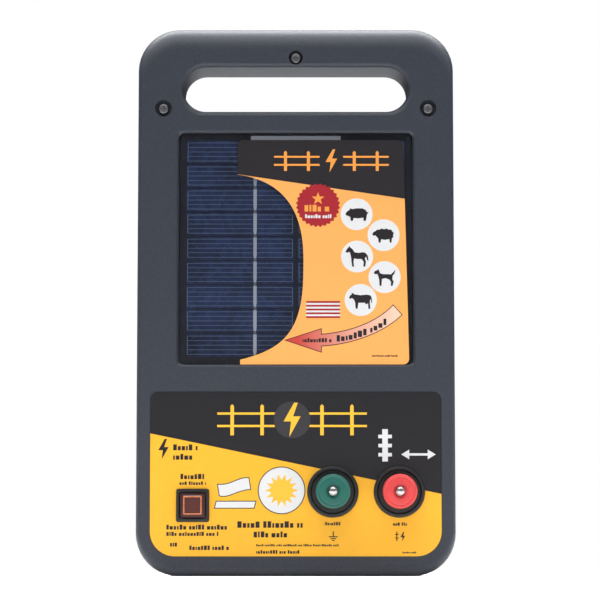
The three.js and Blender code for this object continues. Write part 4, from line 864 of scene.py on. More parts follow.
PIG = [(-7.6, 0.5), (-6.4, 2.0), (-4.9, 3.0), (-4.2, 4.2), (-3, 3.5), (0, 4.1), (4, 4.0), (6.3, 3),
       (7.2, 1.2), (7.9, 1.9), (8, 0.9), (7.1, -0.2), (6.9, -1.8), (6.3, -4.6), (4.8, -4.6), (4.6, -2.4),
       (1, -2.9), (-2, -2.6), (-2.6, -4.6), (-4, -4.6), (-4.3, -2), (-5.7, -1.2), (-7.4, -0.7)]
SHEEP = [(-7.8, 0.6), (-6.8, 2.3), (-5.4, 2.9), (-4.5, 3.9), (-2.9, 3.7), (-1.4, 4.6), (0.4, 4.0), (2, 4.6),
         (3.6, 3.8), (5.2, 3.9), (6.1, 2.5), (7.1, 1.4), (6.5, 0), (6.8, -1.2), (5.7, -2.2), (5.4, -5.2),
         (4.2, -5.2), (4, -2.7), (1, -3.3), (-1.6, -2.8), (-2.2, -5.2), (-3.4, -5.2), (-3.7, -2.4),
         (-4.8, -1.1), (-5.6, -0.2), (-7.1, -0.4)]
HORSE = [(-8, 3.4), (-6.8, 5.4), (-5.8, 6.4), (-5.2, 7.4), (-4.6, 6.2), (-3.0, 5), (-1.8, 2.9), (1, 2.5),
         (4, 3.0), (5.8, 2.5), (7.3, 0.6), (7.8, -3), (6.8, -2.4), (6.1, 0), (5.3, -1.4), (6.1, -3.4),
         (5.5, -7), (4.2, -7), (4.5, -3.6), (3, -1.7), (0, -1.7), (-2, -1.3), (-2.5, -3.6), (-2.1, -7),
         (-3.4, -7), (-3.9, -3.4), (-4.1, -0.8), (-4.6, 1.8), (-5.3, 3.3), (-6.9, 2.5)]
DOG = [(-7.4, 3), (-6.5, 4.3), (-5.1, 4.7), (-4.4, 5.6), (-3.6, 4.2), (-3.1, 2.7), (-1, 2.0), (2.4, 2.0),
       (4.4, 1.9), (6.1, 3.6), (7.5, 5.2), (6.8, 2.6), (5.5, 0.8), (5.3, -1.4), (6.2, -3), (5.5, -6),
       (4.2, -6), (4.4, -3.4), (3.2, -1.7), (0.6, -0.7), (-1.8, -1.3), (-2.2, -6), (-3.5, -6),
       (-3.7, -1.8), (-4.3, 0.4), (-4.9, 2.1), (-6.8, 2.1)]
COW = [(-8, 1.6), (-7.2, 3.3), (-6, 3.9), (-6.5, 5.1), (-5, 4.6), (-4.3, 3.9), (-3, 3.7), (0, 3.3),
       (4, 3.7), (6.5, 3.3), (7.4, 2), (7.8, -1.9), (7.2, -1.9), (6.8, 0.8), (6.2, -1), (6.5, -6),
       (5.2, -6), (5, -2.3), (3.6, -3), (2.8, -1.9), (-1.6, -1.9), (-2.2, -6), (-3.5, -6), (-3.9, -1.4),
       (-4.7, 0.4), (-5.9, 1.3), (-7.4, 0.7)]
herd = [
    (41.8, 247.4, PIG),
    (60.3, 232.9, SHEEP),
    (42.1, 218.1, HORSE),
    (60.9, 203.9, DOG),
    (44.5, 188.1, COW),
]
discs, animals = bmesh.new(), bmesh.new()
for x, z, animal in herd:
    stamp(discs, disc(x, z, 11), film_face)
    stamp(animals, [(x + a, z + b) for a, b in animal], film_face, 1)
print_piece("film_discs", discs, white_ink)
print_piece("film_animals", animals, black_ink)

patch = bmesh.new()
stamp(patch, oblong(7.1, 30.4, 175.7, 187.4), film_face)
print_piece("film_patch", patch, white_ink)
patch = bmesh.new()
for i in range(0, 9, 2):
    stamp(patch, oblong(7.1, 30.4, 175.7 + i * 1.3, 175.7 + (i + 1) * 1.3), film_face, 1)
print_piece("film_patch_stripes", patch, red_ink)

arrow_edges = {
    "upper": bend((66.7, 185.2), (57, 174.5), (39, 166.5), (17.8, 164.9)),
    "lower": bend((17.8, 156.2), (40, 157.5), (61, 166), (73.2, 177.9)),
}
arrow_head = [(17.8, 168.8), (-8, 160.5), (17.8, 151.9), (17.8, 156.2)]
arrow = [(66.7, 185.2), *arrow_edges["upper"], *arrow_head, *arrow_edges["lower"]]
fade, fade_tree = new_material("red ink, fading to pink")
where = add(fade_tree, "TexCoord").outputs["Object"]
along = add(fade_tree, "SeparateXYZ", {"Vector": where}).outputs["X"]
arrow_run = {"From Min": 2 * MM, "From Max": 68 * MM}
share = add(fade_tree, "MapRange", {"Value": along, **arrow_run}).outputs["Result"]
reds = add(fade_tree, "ValToRGB", {"Fac": share})
reds.color_ramp.elements[0].color = linear("#c9463f")
reds.color_ramp.elements[1].color = linear("#f8cdb4")
glossy_print = {"Roughness": 0.32, "Coat Weight": 0.4, "Coat Roughness": 0.12}
finished(fade_tree, {"Base Color": reds.outputs["Color"], **glossy_print})
arrow_edge, arrow_fill = bmesh.new(), bmesh.new()
stamp(arrow_edge, arrow, film_face)
print_piece("film_arrow_edge", arrow_edge, black_ink)


def inside_of(points, margin):
    """The outline drawn in by a margin."""
    bm = bmesh.new()
    face = bm.faces.new([bm.verts.new((x, 0, z)) for x, z in points])
    bm.normal_update()
    bmesh.ops.inset_region(bm, faces=[face], thickness=margin, use_boundary=True, use_even_offset=True)
    kept = [(v.co.x, v.co.z) for v in face.verts]
    bm.free()
    return kept


stamp(arrow_fill, inside_of(arrow, 0.55), film_face, 1)
print_piece("film_arrow", arrow_fill, fade)
arrow_marks = bmesh.new()
for i, outline in enumerate(line_of_type(4.5, 25, 160.5, 2.8, 3) + line_of_type(28, 62, 0, 4.4, 1)):
    centre_x = sum(x for x, z in outline) / 4
    climb = 0 if centre_x < 26 else 161.6 + 0.0085 * (centre_x - 26) ** 2 + 0.03 * (centre_x - 26)
    stamp(arrow_marks, [(x, z + climb) for x, z in outline], film_face, 2)
for outline in line_of_type(52, 70, 149.8, 1.2, 4):
    stamp(arrow_marks, outline, film_face, 2)
print_piece("film_arrow_type", arrow_marks, black_ink)

# ---- Front label ---------------------------------------------------------------------------------
# A polyester label stuck in its recess, screen printed in yellow and black behind a clear coat.
# Its words are plain bars, and its pictures are a fence, a spark, the sun and an earth.

label, label_tree = new_material("polyester label, yellow and black")
# The black covers all that is above a sloping line.
spot = add(label_tree, "TexCoord").outputs["Object"]
axes = add(label_tree, "SeparateXYZ", {"Vector": spot})
LINE_LEFT_Z, LINE_RIGHT_Z, LINE_HALF = 96.7, 55.6, 99.0
fall = (LINE_LEFT_Z - LINE_RIGHT_Z) / (2 * LINE_HALF)
tilted = add(label_tree, "Math", {0: axes.outputs["X"], 1: fall}, operation="MULTIPLY").outputs["Value"]
height = add(label_tree, "Math", {0: tilted, 1: axes.outputs["Z"]}, operation="ADD").outputs["Value"]
LINE_MIDDLE = (LINE_LEFT_Z + LINE_RIGHT_Z) / 2 * MM
above = add(label_tree, "Math", {0: height, 1: LINE_MIDDLE}, operation="GREATER_THAN").outputs["Value"]
cloud = add(label_tree, "TexNoise", {"Vector": spot, "Scale": 1 / (5 * MM), "Detail": 3}).outputs["Fac"]
tone = add(label_tree, "MapRange", {"Value": cloud, "To Min": 0.96, "To Max": 1.04}).outputs["Result"]
two_colours = {"Factor": above, "A": linear("#f8b832"), "B": linear("#232226")}
inks = add(label_tree, "Mix", two_colours, data_type="RGBA")
inks = next(out for out in inks.outputs if out.type == "RGBA")
tinted = add(label_tree, "VectorMath", {0: inks, "Scale": tone}, operation="SCALE").outputs["Vector"]
peel = add(label_tree, "Bump", {"Height": cloud, "Strength": 0.15, "Distance": 0.05 * MM})
finished(
    label_tree,
    {
        "Base Color": tinted,
        "Roughness": 0.38,
        "Normal": peel.outputs["Normal"],
        "Specular IOR Level": 0.3,
        "Coat Weight": 0.1,
        "Coat Roughness": 0.15,
    },
)
holes = [bar(at.x, at.z, 17.5, -1, 1, 64) for at in terminals.values()]
holes.append(around(*place("lamp_bezel"), 0.3, 1.5, -1, 1))
label_body = around(label_low, label_high, 0, LABEL_RADII, label_low.y, label_high.y, 12)
piece("label", cut(label_body, *holes), label, ["front_label"])

label_face = label_low.y
# The same yellow as the label's ground, under more of the clear coat.
yellow_ink = printed("yellow ink", "#fac23e", 0.38, 0.03, 0.3)
inked = {ink: bmesh.new() for ink in ("yellow", "black", "white", "sun", "grey")}
fence_picture(inked["yellow"], -53.5, 48.5, 95.4, 116.6, 1.5, label_face)
stamp(inked["grey"], disc(-2.5, 106, 12.6), label_face, 1)
stamp(inked["yellow"], spark(-2.5, 106, 11.6), label_face, 2)
stamp(inked["black"], spark(-90, 86, 7), label_face)
for x0, x1, z, height_mm, start in (
    (-83.4, -66.8, 87.2, 4.0, 0),
    (-83.4, -69, 80.8, 4.0, 3),
    (-78.3, -62.3, 67.4, 3.6, 1),
    (-79, -60.5, 62.9, 2.4, 4),
    (-87.7, -45.4, 33.1, 3.3, 5),
    (-87.7, -52, 28.6, 2.8, 2),
    (-85.2, -79.5, 21.3, 2.6, 7),
    (-72.1, -44, 19.2, 3.0, 1),
    (-39.6, 4.7, 34.9, 4.4, 6),
    (-28.5, -5, 28.2, 4.0, 2),
    (-26.8, 29, 20.9, 1.5, 0),
    (-26.8, 2.6, 16.4, 2.4, 3),
    (72.3, 81.8, 16, 1.2, 5),
    (20, 31, 35.5, 2.2, 1),
    (66, 75.4, 35.2, 2.2, 4),
):
    for outline in line_of_type(x0, x1, z, height_mm, start):
        stamp(inked["black"], outline, label_face)

# The earth sign under the green knob, and a wire with a spark under the red one.
EARTH_X, WIRE_X, SIGN_Z = 25.5, 71.0, 26.7
for outline in (
    oblong(EARTH_X - 0.35, EARTH_X + 0.35, SIGN_Z, SIGN_Z + 3.6),
    oblong(EARTH_X - 3, EARTH_X + 3, SIGN_Z - 0.4, SIGN_Z + 0.3),
    oblong(EARTH_X - 1.9, EARTH_X + 1.9, SIGN_Z - 1.7, SIGN_Z - 1.0),
    oblong(EARTH_X - 0.8, EARTH_X + 0.8, SIGN_Z - 3.0, SIGN_Z - 2.3),
    oblong(WIRE_X - 2.8, WIRE_X - 2.1, SIGN_Z - 3, SIGN_Z + 3.4),
    oblong(WIRE_X - 3.6, WIRE_X - 1.2, SIGN_Z + 1.2, SIGN_Z + 1.8),
    oblong(WIRE_X - 3.6, WIRE_X - 1.2, SIGN_Z - 1.2, SIGN_Z - 0.6),
    spark(WIRE_X + 1.6, SIGN_Z, 3.2),
):
    stamp(inked["black"], outline, label_face)

# A sun in a white disc, with a white wave and bar beside it, all edged in dark grey.
SUN_X, SUN_Z, SUN_RAYS = -9.6, 58.0, 14
stamp(inked["grey"], disc(SUN_X, SUN_Z, 16.2, 72), label_face)
stamp(inked["white"], disc(SUN_X, SUN_Z, 15.5, 72), label_face, 1)
stamp(inked["sun"], disc(SUN_X, SUN_Z, 7.5, 60), label_face, 2)
for ray in range(SUN_RAYS):
    turn = 2 * math.pi * ray / SUN_RAYS
    tip = [(7.2, -0.2), (11.4, 0.0), (7.2, 0.2)]
    stamp(
        inked["sun"],
        [(SUN_X + r * math.cos(turn + a), SUN_Z + r * math.sin(turn + a)) for r, a in tip],
        label_face,
        1.7,
    )
wave = [
    (-52.2, 54.0),
    *bend((-52.2, 54.0), (-45, 52.0), (-41, 57.6), (-30.2, 58.4), 14),
    (-31.6, 67.0),
    *bend((-31.6, 67.0), (-40, 67.6), (-44, 61.2), (-53.6, 62.6), 14),
]
bar_shape = [(-55.6, 45.6), (-27.9, 45.6), (-26.6, 51.0), (-54.3, 51.0)]
for shape in (wave, bar_shape):
    stamp(inked["grey"], shape, label_face)
    stamp(inked["white"], inside_of(shape, 0.65), label_face, 1)

# A white fence post with its insulators, and a white arrow that points both ways along the fence.
for outline in (
    oblong(58.9, 62.7, 77.6, 99.6),
    [(71.8, 82.4), (77.2, 79.1), (77.2, 81.6), (89.8, 81.6), (89.8, 79.1), (95.2, 82.4),
     (89.8, 85.7), (89.8, 83.2), (77.2, 83.2), (77.2, 85.7)],
):
    stamp(inked["white"], outline, label_face)
for z in (94.6, 88.4, 82.2):
    stamp(inked["white"], oblong(56.2, 65.4, z - 1.2, z + 1.2), label_face, 0.5)
label_inks = {
    "yellow": yellow_ink,
    "black": black_ink,
    "white": white_ink,
    "sun": yellow_ink,
    "grey": printed("dark grey ink", "#3a393d", 0.4),
}
for ink, bm in inked.items():
    print_piece(f"label_{ink}_marks", bm, label_inks[ink])

# ---- Status lamp ---------------------------------------------------------------------------------
# A black nylon bezel pressed into the case, a dark amber polycarbonate lens that snaps into it, and
# the red LED behind it; its light is painted, as a bright orange glow round the lens's edge.

# Moulded nylon is deep black with a soft sheen along its edges.
black_nylon = moulded("black nylon, moulded", "#17191b", 0.4, 0.8, 0.03, 0.12, 1.53)
bezel_low, bezel_high = place("lamp_bezel")
lens_low = place("lamp_lens")[0]
lamp_half = (bezel_high.x - bezel_low.x) / 2
LENS_HALF, CROWN_HALF = 8.5, 6.9
LABEL_SEAT = label_high.y


def square(half, y, radius=1.0):
    return sheet(lamp_at.x - half, lamp_at.x + half, lamp_at.z - half, lamp_at.z + half, radius, y, 4)


bezel_face = bezel_low.y
bezel = drawn(
    square(lamp_half, LABEL_SEAT, 1.5),
    [
        (LABEL_SEAT, 0, 0, 0),
        (bezel_face + 0.7, 0, 0, 0),
        (bezel_face + 0.2, 0.2, 0.2, 0.2),
        (bezel_face, 0.7, 0.7, 0.7),
    ],
)
bezel = joined(bezel, drawn(square(lamp_half - 1.1, 0.2), [(0.2, 0, 0, 0), (bezel_high.y, 0, 0, 0)]))
mouth = drawn(
    square(LENS_HALF + 0.3, 2.4),
    [
        (2.4, 0, 0, 0),
        (bezel_face + 0.6, 0, 0, 0),
        (bezel_face - 0.1, -0.7, -0.7, -0.7),
        (bezel_face - 1, -0.7, -0.7, -0.7),
    ],
)
bezel = cut(bezel, mouth, drawn(square(LENS_HALF - 1.5, -3), [(-3, 0, 0, 0), (13, 0, 0, 0)]))
piece("lamp_frame", bezel, black_nylon, ["lamp_bezel"])

amber, amber_tree = new_material("dark amber polycarbonate, moulded")
# Its inside is moulded in a fine grid of prisms, which breaks up the light.
where = add(amber_tree, "TexCoord").outputs["Object"]
grid_x = add(amber_tree, "TexWave", {"Vector": where, "Scale": 0.32 / (1.1 * MM)}, bands_direction="X")
grid_z = add(amber_tree, "TexWave", {"Vector": where, "Scale": 0.32 / (1.1 * MM)}, bands_direction="Z")
prisms = add(
    amber_tree, "Math", {0: grid_x.outputs["Fac"], 1: grid_z.outputs["Fac"]}, operation="MULTIPLY"
).outputs["Value"]
reds = add(amber_tree, "ValToRGB", {"Fac": prisms})
reds.color_ramp.elements[0].color = linear("#3c0f08")
reds.color_ramp.elements[1].color = linear("#701f13")
relief = add(amber_tree, "Bump", {"Height": prisms, "Strength": 0.3, "Distance": 0.2 * MM})
finished(
    amber_tree,
    {
        "Base Color": reds.outputs["Color"],
        "Roughness": 0.3,
        "IOR": 1.58,
        "Normal": relief.outputs["Normal"],
        "Coat Weight": 0.15,
        "Coat Roughness": 0.05,
    },
)
lens = drawn(square(LENS_HALF, 2.2), [(2.2, 0, 0, 0), (-0.4, 0, 0, 0), (-0.6, 0.2, 0.2, 0.2)])
crown = drawn(
    square(CROWN_HALF, 0),
    [(0, 0, 0, 0), (lens_low.y + 0.6, 0, 0, 0), (lens_low.y, 0.6, 0.6, 0.6)],
)
dish = drawn(
    square(CROWN_HALF - 1.5, lens_low.y - 1, 0.6),
    [(lens_low.y - 1, 0, 0, 0), (lens_low.y, 0, 0, 0), (lens_low.y + 0.5, 0.3, 0.3, 0.3)],
)
piece("lens", cut(joined(lens, crown), dish), amber, ["lamp_lens"])

# Painted glow: the lens's edge round the dished middle is coloured a bright orange that stands for
# the LED's light carried to the edge; nothing there gives off light.
painted_glow_edge, lit_tree = new_material("amber polycarbonate edge, painted glow")
where = add(lit_tree, "TexCoord").outputs["Object"]
haze = add(lit_tree, "TexNoise", {"Vector": where, "Scale": 1 / (2 * MM)})
# Painted glow: these oranges are lighter than the lens, as if the edge were lit from inside.
glow = add(lit_tree, "ValToRGB", {"Fac": haze.outputs["Fac"]})
glow.color_ramp.elements[0].color = linear("#b85a34")
glow.color_ramp.elements[1].color = linear("#e9986c")
polished = {"Roughness": 0.25, "IOR": 1.58, "Coat Weight": 0.6}
finished(lit_tree, {"Base Color": glow.outputs["Color"], **polished})
lens_face = lens_low.y


def lens_slab(half, radius, y0, y1):
    return drawn(square(half, y0, radius), [(y0, 0, 0, 0), (y1, 0, 0, 0)])


rim = cut(
    lens_slab(CROWN_HALF - 0.65, 0.8, lens_face + 0.1, lens_face - 0.04),
    lens_slab(CROWN_HALF - 1.5, 0.6, lens_face - 1, lens_face + 1),
)
piece("lens_edge", rim, painted_glow_edge)
# Cast epoxy is clear and glossy, and shows as a dark red glint behind the lens.
led_resin = moulded("red epoxy, cast", "#8f2a20", 0.2, 2.0, 0.005, 0.03, 1.55)


def dress(material, *nodes):
    """Gives CAD nodes that keep their shape a better material."""
    for node in nodes:
        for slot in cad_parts[node].material_slots:
            slot.material = material


dress(led_resin, "lamp_led")

# ---- Terminals -----------------------------------------------------------------------------------
# Each is a black nylon collar, a zinc-plated M6 stud and washer, and a moulded thumb nut, green for
# the earth and red for the fence. Behind the case a nut clamps a brass ring lug on the stud.

STUD_RADIUS, THREAD_PITCH, THREAD_DEPTH = 3.0, 1.0, 0.45
BORE = STUD_RADIUS + 0.3


def turned(x, z, profile, steps=96):
    """A profile of radius and depth, spun round an axis along Y."""
    bm = bmesh.new()
    verts = [bm.verts.new((radius, y, 0)) for radius, y in profile]
    edges = [bm.edges.new(pair) for pair in zip(verts, verts[1:])]
    bmesh.ops.spin(
        bm,
        geom=verts + edges,
        cent=(0, 0, 0),
        axis=(0, 1, 0),
        dvec=(0, 0, 0),
        angle=2 * math.pi,
        steps=steps,
        use_merge=True,
    )
    bmesh.ops.remove_doubles(bm, verts=bm.verts, dist=0.0005)
    bmesh.ops.recalc_face_normals(bm, faces=bm.faces)
    bmesh.ops.translate(bm, verts=bm.verts, vec=(x, 0, z))
    return bm


def arc(radius_at, y_at, size, start, end, steps=5):
    """Part of a rounding in a profile, from one angle to another in degrees."""
    angles = [math.radians(start + (end - start) * i / steps) for i in range(steps + 1)]
    return [(radius_at + size * math.cos(a), y_at + size * math.sin(a)) for a in angles]


# Bright zinc reflects in soft, slightly uneven patches, and brass does so in yellow. The knobs'
# polypropylene has a waxy sheen over an even colour.
zinc = metal("zinc-plated steel, bright", "#c9c6c8", 0.28, (0.35, 0.35, 0.35), 0.08)
brass = metal("brass, bright", "#c8a15a", 0.3, (0.3, 0.3, 0.3), 0.08)
green_plastic = moulded("green polypropylene, moulded", "#1c655a", 0.36, 1.2, 0.03, 0.07, 1.49)
red_plastic = moulded("red polypropylene, moulded", "#dd4546", 0.36, 1.2, 0.03, 0.05, 1.49)

COLLAR_RADIUS, COLLAR_RISE = 17.2, 2.4
BOSS_RADIUS, BOSS_RISE, DISH = 8.2, 3.4, 0.8
KNOB_RADIUS, KNOB_FLUTES, FLUTE_DEPTH = 11.8, 72, 0.35
knob_colours = (("ground", green_plastic, "green_knob"), ("fence", red_plastic, "red_knob"))
for name, knob_plastic, knob_slot in knob_colours:
    at = terminals[name]
    collar_back = place(f"{name}_collar")[1].y
    collar = [
        (BORE, collar_back),
        (5.6, collar_back),
        (5.6, LABEL_SEAT),
        (COLLAR_RADIUS, LABEL_SEAT),
        *arc(COLLAR_RADIUS - 0.7, -COLLAR_RISE + 0.7, 0.7, 0, -90),
        *arc(COLLAR_RADIUS - 1.9, -COLLAR_RISE + 0.4, 0.4, -90, -150, 3),
        *arc(COLLAR_RADIUS - 3.0, -DISH - 0.5, 0.5, 30, 90, 3),
        *arc(BOSS_RADIUS + 0.6, -DISH - 0.6, 0.6, 90, 180, 3),
        *arc(BOSS_RADIUS - 0.5, -BOSS_RISE + 0.5, 0.5, 0, -90, 4),
        (BORE, -BOSS_RISE),
        (BORE, collar_back),
    ]
    collar = turned(at.x, at.z, collar, 128)
    piece(f"{name}_base", collar, black_nylon, [f"{name}_collar"])

    tail, tip = place(f"{name}_stud")[1].y, place(f"{name}_stud")[0].y
    thread = [(0, tail), (STUD_RADIUS - 0.5, tail), (STUD_RADIUS, tail - 0.5)]
    depth = tail - 1.0
    while depth > tip + 2.0:
        thread += [
            (STUD_RADIUS, depth),
            (STUD_RADIUS - THREAD_DEPTH, depth - 0.4 * THREAD_PITCH),
            (STUD_RADIUS - THREAD_DEPTH, depth - 0.5 * THREAD_PITCH),
            (STUD_RADIUS, depth - 0.9 * THREAD_PITCH),
        ]
        depth -= THREAD_PITCH
    thread += [(STUD_RADIUS - 0.3, tip + 1.3), *arc(STUD_RADIUS - 1.7, tip + 1.2, 1.2, 0, -70), (0, tip)]
    bolt = turned(at.x, at.z, thread, 40)
    piece(f"{name}_bolt", bolt, zinc, [f"{name}_stud"], sharp_degrees=40)

    washer_low, washer_high = place(f"{name}_washer")
    washer_radius = (washer_high.x - washer_low.x) / 2
    washer = [
        (BORE, washer_high.y),
        (washer_radius - 0.15, washer_high.y),
        (washer_radius, washer_high.y - 0.15),
        (washer_radius, washer_low.y + 0.3),
        (washer_radius - 0.3, washer_low.y),
        (BORE + 0.2, washer_low.y),
        (BORE, washer_low.y + 0.2),
        (BORE, washer_high.y),
    ]
    flat = turned(at.x, at.z, washer, 72)
    piece(f"{name}_flat_washer", flat, zinc, [f"{name}_washer"], body=f"{name}_washer")

    knob_low, knob_high = place(f"{name}_knob")
    front_y, back_y = knob_low.y, knob_high.y
    shape = [
        (BORE, back_y),
        (7.2, back_y),
        (8.2, back_y - 1.5),
        (KNOB_RADIUS - 0.6, back_y - 1.5),
        (KNOB_RADIUS, back_y - 2.1),
        (KNOB_RADIUS, front_y + 1.5),
        *arc(KNOB_RADIUS - 1.2, front_y + 1.2, 1.2, 0, -90, 6),
        (KNOB_RADIUS - 2.0, front_y),
        (KNOB_RADIUS - 2.25, front_y + 0.25),
        (KNOB_RADIUS - 2.6, front_y + 0.25),
        (KNOB_RADIUS - 2.85, front_y),
        (BORE + 1.7, front_y),
        *arc(BORE + 1.1, front_y + 0.6, 0.6, -60, 0, 3),
        (BORE + 1.4, front_y + 1.2),
        (BORE, front_y + 1.4),
        (BORE, back_y),
    ]
    knob = turned(0, 0, shape, KNOB_FLUTES * 4)
    for vert in knob.verts:
        radius = math.hypot(vert.co.x, vert.co.z)
        edge = min(max((radius - (KNOB_RADIUS - 1.2)) / 1.0, 0), 1)
        wave_depth = 0.5 - 0.5 * math.cos(KNOB_FLUTES * math.atan2(vert.co.z, vert.co.x))
        slim = 1 - FLUTE_DEPTH * edge * wave_depth / KNOB_RADIUS
        vert.co.x, vert.co.z = vert.co.x * slim, vert.co.z * slim
    bmesh.ops.translate(knob, verts=knob.verts, vec=(at.x, 0, at.z))
    cad_knob = f"{name}_knob"
    piece(f"{name}_thumb_nut", knob, knob_plastic, [cad_knob], cad_knob, sharp_degrees=50)
    dress(brass, f"{name}_lug")
    dress(zinc, f"{name}_nut")

# ---- Post socket ---------------------------------------------------------------------------------
# The black nylon sleeve that drops over a steel T-post turns in the case's well, so the panel can
# face the sun. A screwed-in ring keeps it there, and a groove round it takes the lock knob's pad.

SLOT_FLANGE, SLOT_WEB, SLOT_BACK = (37.0, 7.0), (7.0, 31.0), 8.0
GROOVE_DEPTH, GROOVE_HALF = 2.4, 5.0
sleeve_radius = (sleeve_high.y - sleeve_low.y) / 2
sleeve_top = sleeve_high.z - 4


def box_between(x0, x1, y0, y1, z0, z1):
    bm = bmesh.new()
    bmesh.ops.create_cube(bm, size=1)
    bmesh.ops.scale(bm, verts=bm.verts, vec=(x1 - x0, y1 - y0, z1 - z0))
    bmesh.ops.translate(bm, verts=bm.verts, vec=((x0 + x1) / 2, (y0 + y1) / 2, (z0 + z1) / 2))
    return bm


def post_slot(grow, z0, z1):
    """The T of a steel post, its flange behind its web."""
    back = WELL_Y + SLOT_BACK
    half_flange, half_web = SLOT_FLANGE[0] / 2 + grow, SLOT_WEB[0] / 2 + grow
    flange = box_between(-half_flange, half_flange, back - grow, back + SLOT_FLANGE[1] + grow, z0, z1)
    web = box_between(-half_web, half_web, back - SLOT_WEB[1] - grow, back + 1, z0, z1)
    return joined(flange, web)


sleeve = upright(0, WELL_Y, sleeve_radius, sleeve_low.z, sleeve_high.z, 128)
rim_edges = [e for e in sleeve.edges if abs(e.verts[0].co.z - e.verts[1].co.z) < 0.01]
bmesh.ops.bevel(sleeve, geom=rim_edges, offset=0.8, affect="EDGES", segments=3, profile=0.5, material=-1)
hollow = upright(0, WELL_Y, sleeve_radius - WALL, sleeve_low.z - 1, sleeve_top, 128)
band_outer = upright(0, WELL_Y, sleeve_radius - 1, LOCK_Z - 8, LOCK_Z + 8, 128)
band = cut(band_outer, upright(0, WELL_Y, sleeve_radius - GROOVE_DEPTH - WALL, 0, LOCK_Z + 9, 128))
webs = joined(
    post_slot(WALL, sleeve_low.z, sleeve_high.z - 1),
    box_between(-WALL / 2, WALL / 2, WELL_Y - 40, WELL_Y + 40, sleeve_low.z, sleeve_high.z - 1),
    box_between(-40, 40, WELL_Y - WALL / 2, WELL_Y + WALL / 2, sleeve_low.z, sleeve_high.z - 1),
)
core = upright(0, WELL_Y, sleeve_radius - 1, sleeve_low.z, sleeve_high.z - 1, 128)
webs = combined(webs, [core], "INTERSECT")
groove_low, groove_high = LOCK_Z - GROOVE_HALF, LOCK_Z + GROOVE_HALF
groove = cut(
    upright(0, WELL_Y, sleeve_radius + 1, groove_low, groove_high, 128),
    upright(0, WELL_Y, sleeve_radius - GROOVE_DEPTH, groove_low - 1, groove_high + 1, 128),
)
sleeve = cut(joined(cut(sleeve, hollow), webs, band), post_slot(0, sleeve_low.z - 1, sleeve_top), groove)
piece("socket_sleeve", sleeve, black_nylon, ["post_sleeve"], body="post_sleeve")

ring_low, ring_high = place("sleeve_retainer")
ring = upright(0, WELL_Y, (ring_high.x - ring_low.x) / 2, ring_low.z, ring_high.z, 128)
ring = cut(ring, upright(0, WELL_Y, math.hypot(18.5, 15) + 0.8, -1, ring_high.z + 1, 128))
piece("socket_ring", ring, black_nylon, ["sleeve_retainer"], round_mm=0.5)

# ---- Lock knob -----------------------------------------------------------------------------------
# A five-lobed black knob on a zinc-plated screw, run through a brass insert in the back. It presses
# a nylon pad on the sleeve to hold it at the angle it is turned to.

lock_low, lock_high = place("lock_knob")
LOBES, LOBE_DEPTH, LOCK_RADIUS = 5, 1.3, 14.0
head_low, head_high = lock_high.y - 9, lock_high.y
head_steps = [
    (head_low, 0.8),
    (head_low + 0.8, 0),
    (head_high - 2.0, 0),
    (head_high - 0.6, 0.6),
    (head_high, 2.0),
]
lock_head = bmesh.new()
bmesh.ops.create_circle(lock_head, cap_ends=True, radius=1, segments=120)
bmesh.ops.rotate(lock_head, verts=lock_head.verts, matrix=Matrix.Rotation(math.pi / 2, 3, "X"))
for vert in lock_head.verts:
    turn = math.atan2(vert.co.z, vert.co.x)
    reach_mm = LOCK_RADIUS - LOBE_DEPTH + LOBE_DEPTH * math.cos(LOBES * turn)
    vert.co = Vector((vert.co.x * reach_mm, head_low, vert.co.z * reach_mm))
face = lock_head.faces[:][0]
inset_now = 0
for number, (y, inset) in enumerate(head_steps):
    if number:
        old = face
        made = bmesh.ops.extrude_face_region(lock_head, geom=[face])["geom"]
        face = next(g for g in made if isinstance(g, bmesh.types.BMFace))
        if number > 1:
            bmesh.ops.delete(lock_head, geom=[old], context="FACES_ONLY")
    factor = (LOCK_RADIUS - inset) / (LOCK_RADIUS - inset_now)
    bmesh.ops.scale(lock_head, verts=face.verts[:], vec=(factor, 1, factor))
    bmesh.ops.translate(lock_head, verts=face.verts[:], vec=(0, y - face.verts[0].co.y, 0))
    inset_now = inset
bmesh.ops.recalc_face_normals(lock_head, faces=lock_head.faces)
bmesh.ops.translate(lock_head, verts=lock_head.verts, vec=(0, 0, LOCK_Z))
lock_head = cut(lock_head, bar(0, LOCK_Z, 5.2, head_high - 0.8, head_high + 1))
lock_head = joined(lock_head, bar(0, LOCK_Z, 7, lock_high.y - 11, head_low + 1, 64))
piece("lock_knob_head", lock_head, black_nylon, ["lock_knob"], body="lock_knob")
screw_start = lock_low.y
thread = [(0, screw_start), (STUD_RADIUS - 0.8, screw_start), (STUD_RADIUS, screw_start + 0.8)]
depth = screw_start + 1.2
while depth < lock_high.y - 12:
    thread += [
        (STUD_RADIUS, depth),
        (STUD_RADIUS - THREAD_DEPTH, depth + 0.4 * THREAD_PITCH),
        (STUD_RADIUS - THREAD_DEPTH, depth + 0.5 * THREAD_PITCH),
        (STUD_RADIUS, depth + 0.9 * THREAD_PITCH),
    ]
    depth += THREAD_PITCH
thread += [(STUD_RADIUS, lock_high.y - 4), (0, lock_high.y - 4)]
lock_screw = turned(0, LOCK_Z, thread, 40)
piece("lock_knob_screw", lock_screw, zinc, body="lock_knob", sharp_degrees=40)
insert_low, insert_high = place("lock_insert")
insert_radius = (insert_high.x - insert_low.x) / 2
insert = turned(
    0,
    LOCK_Z,
    [
        (BORE, insert_high.y),
        (BORE + 0.3, insert_high.y),
        (insert_radius - 0.2, insert_high.y),
        (insert_radius, insert_high.y - 0.2),
        (insert_radius, insert_low.y),
        (BORE, insert_low.y),
        (BORE, insert_high.y),
    ],
    64,
)
piece("brass_insert", insert, brass, ["lock_insert"])
dress(black_nylon, "lock_pad")

# ---- Battery and its door ------------------------------------------------------------------------
# A sealed lead-acid battery stands in its bay. The ABS door over it closes on a rubber seal, and
# two screws hold it along its top.

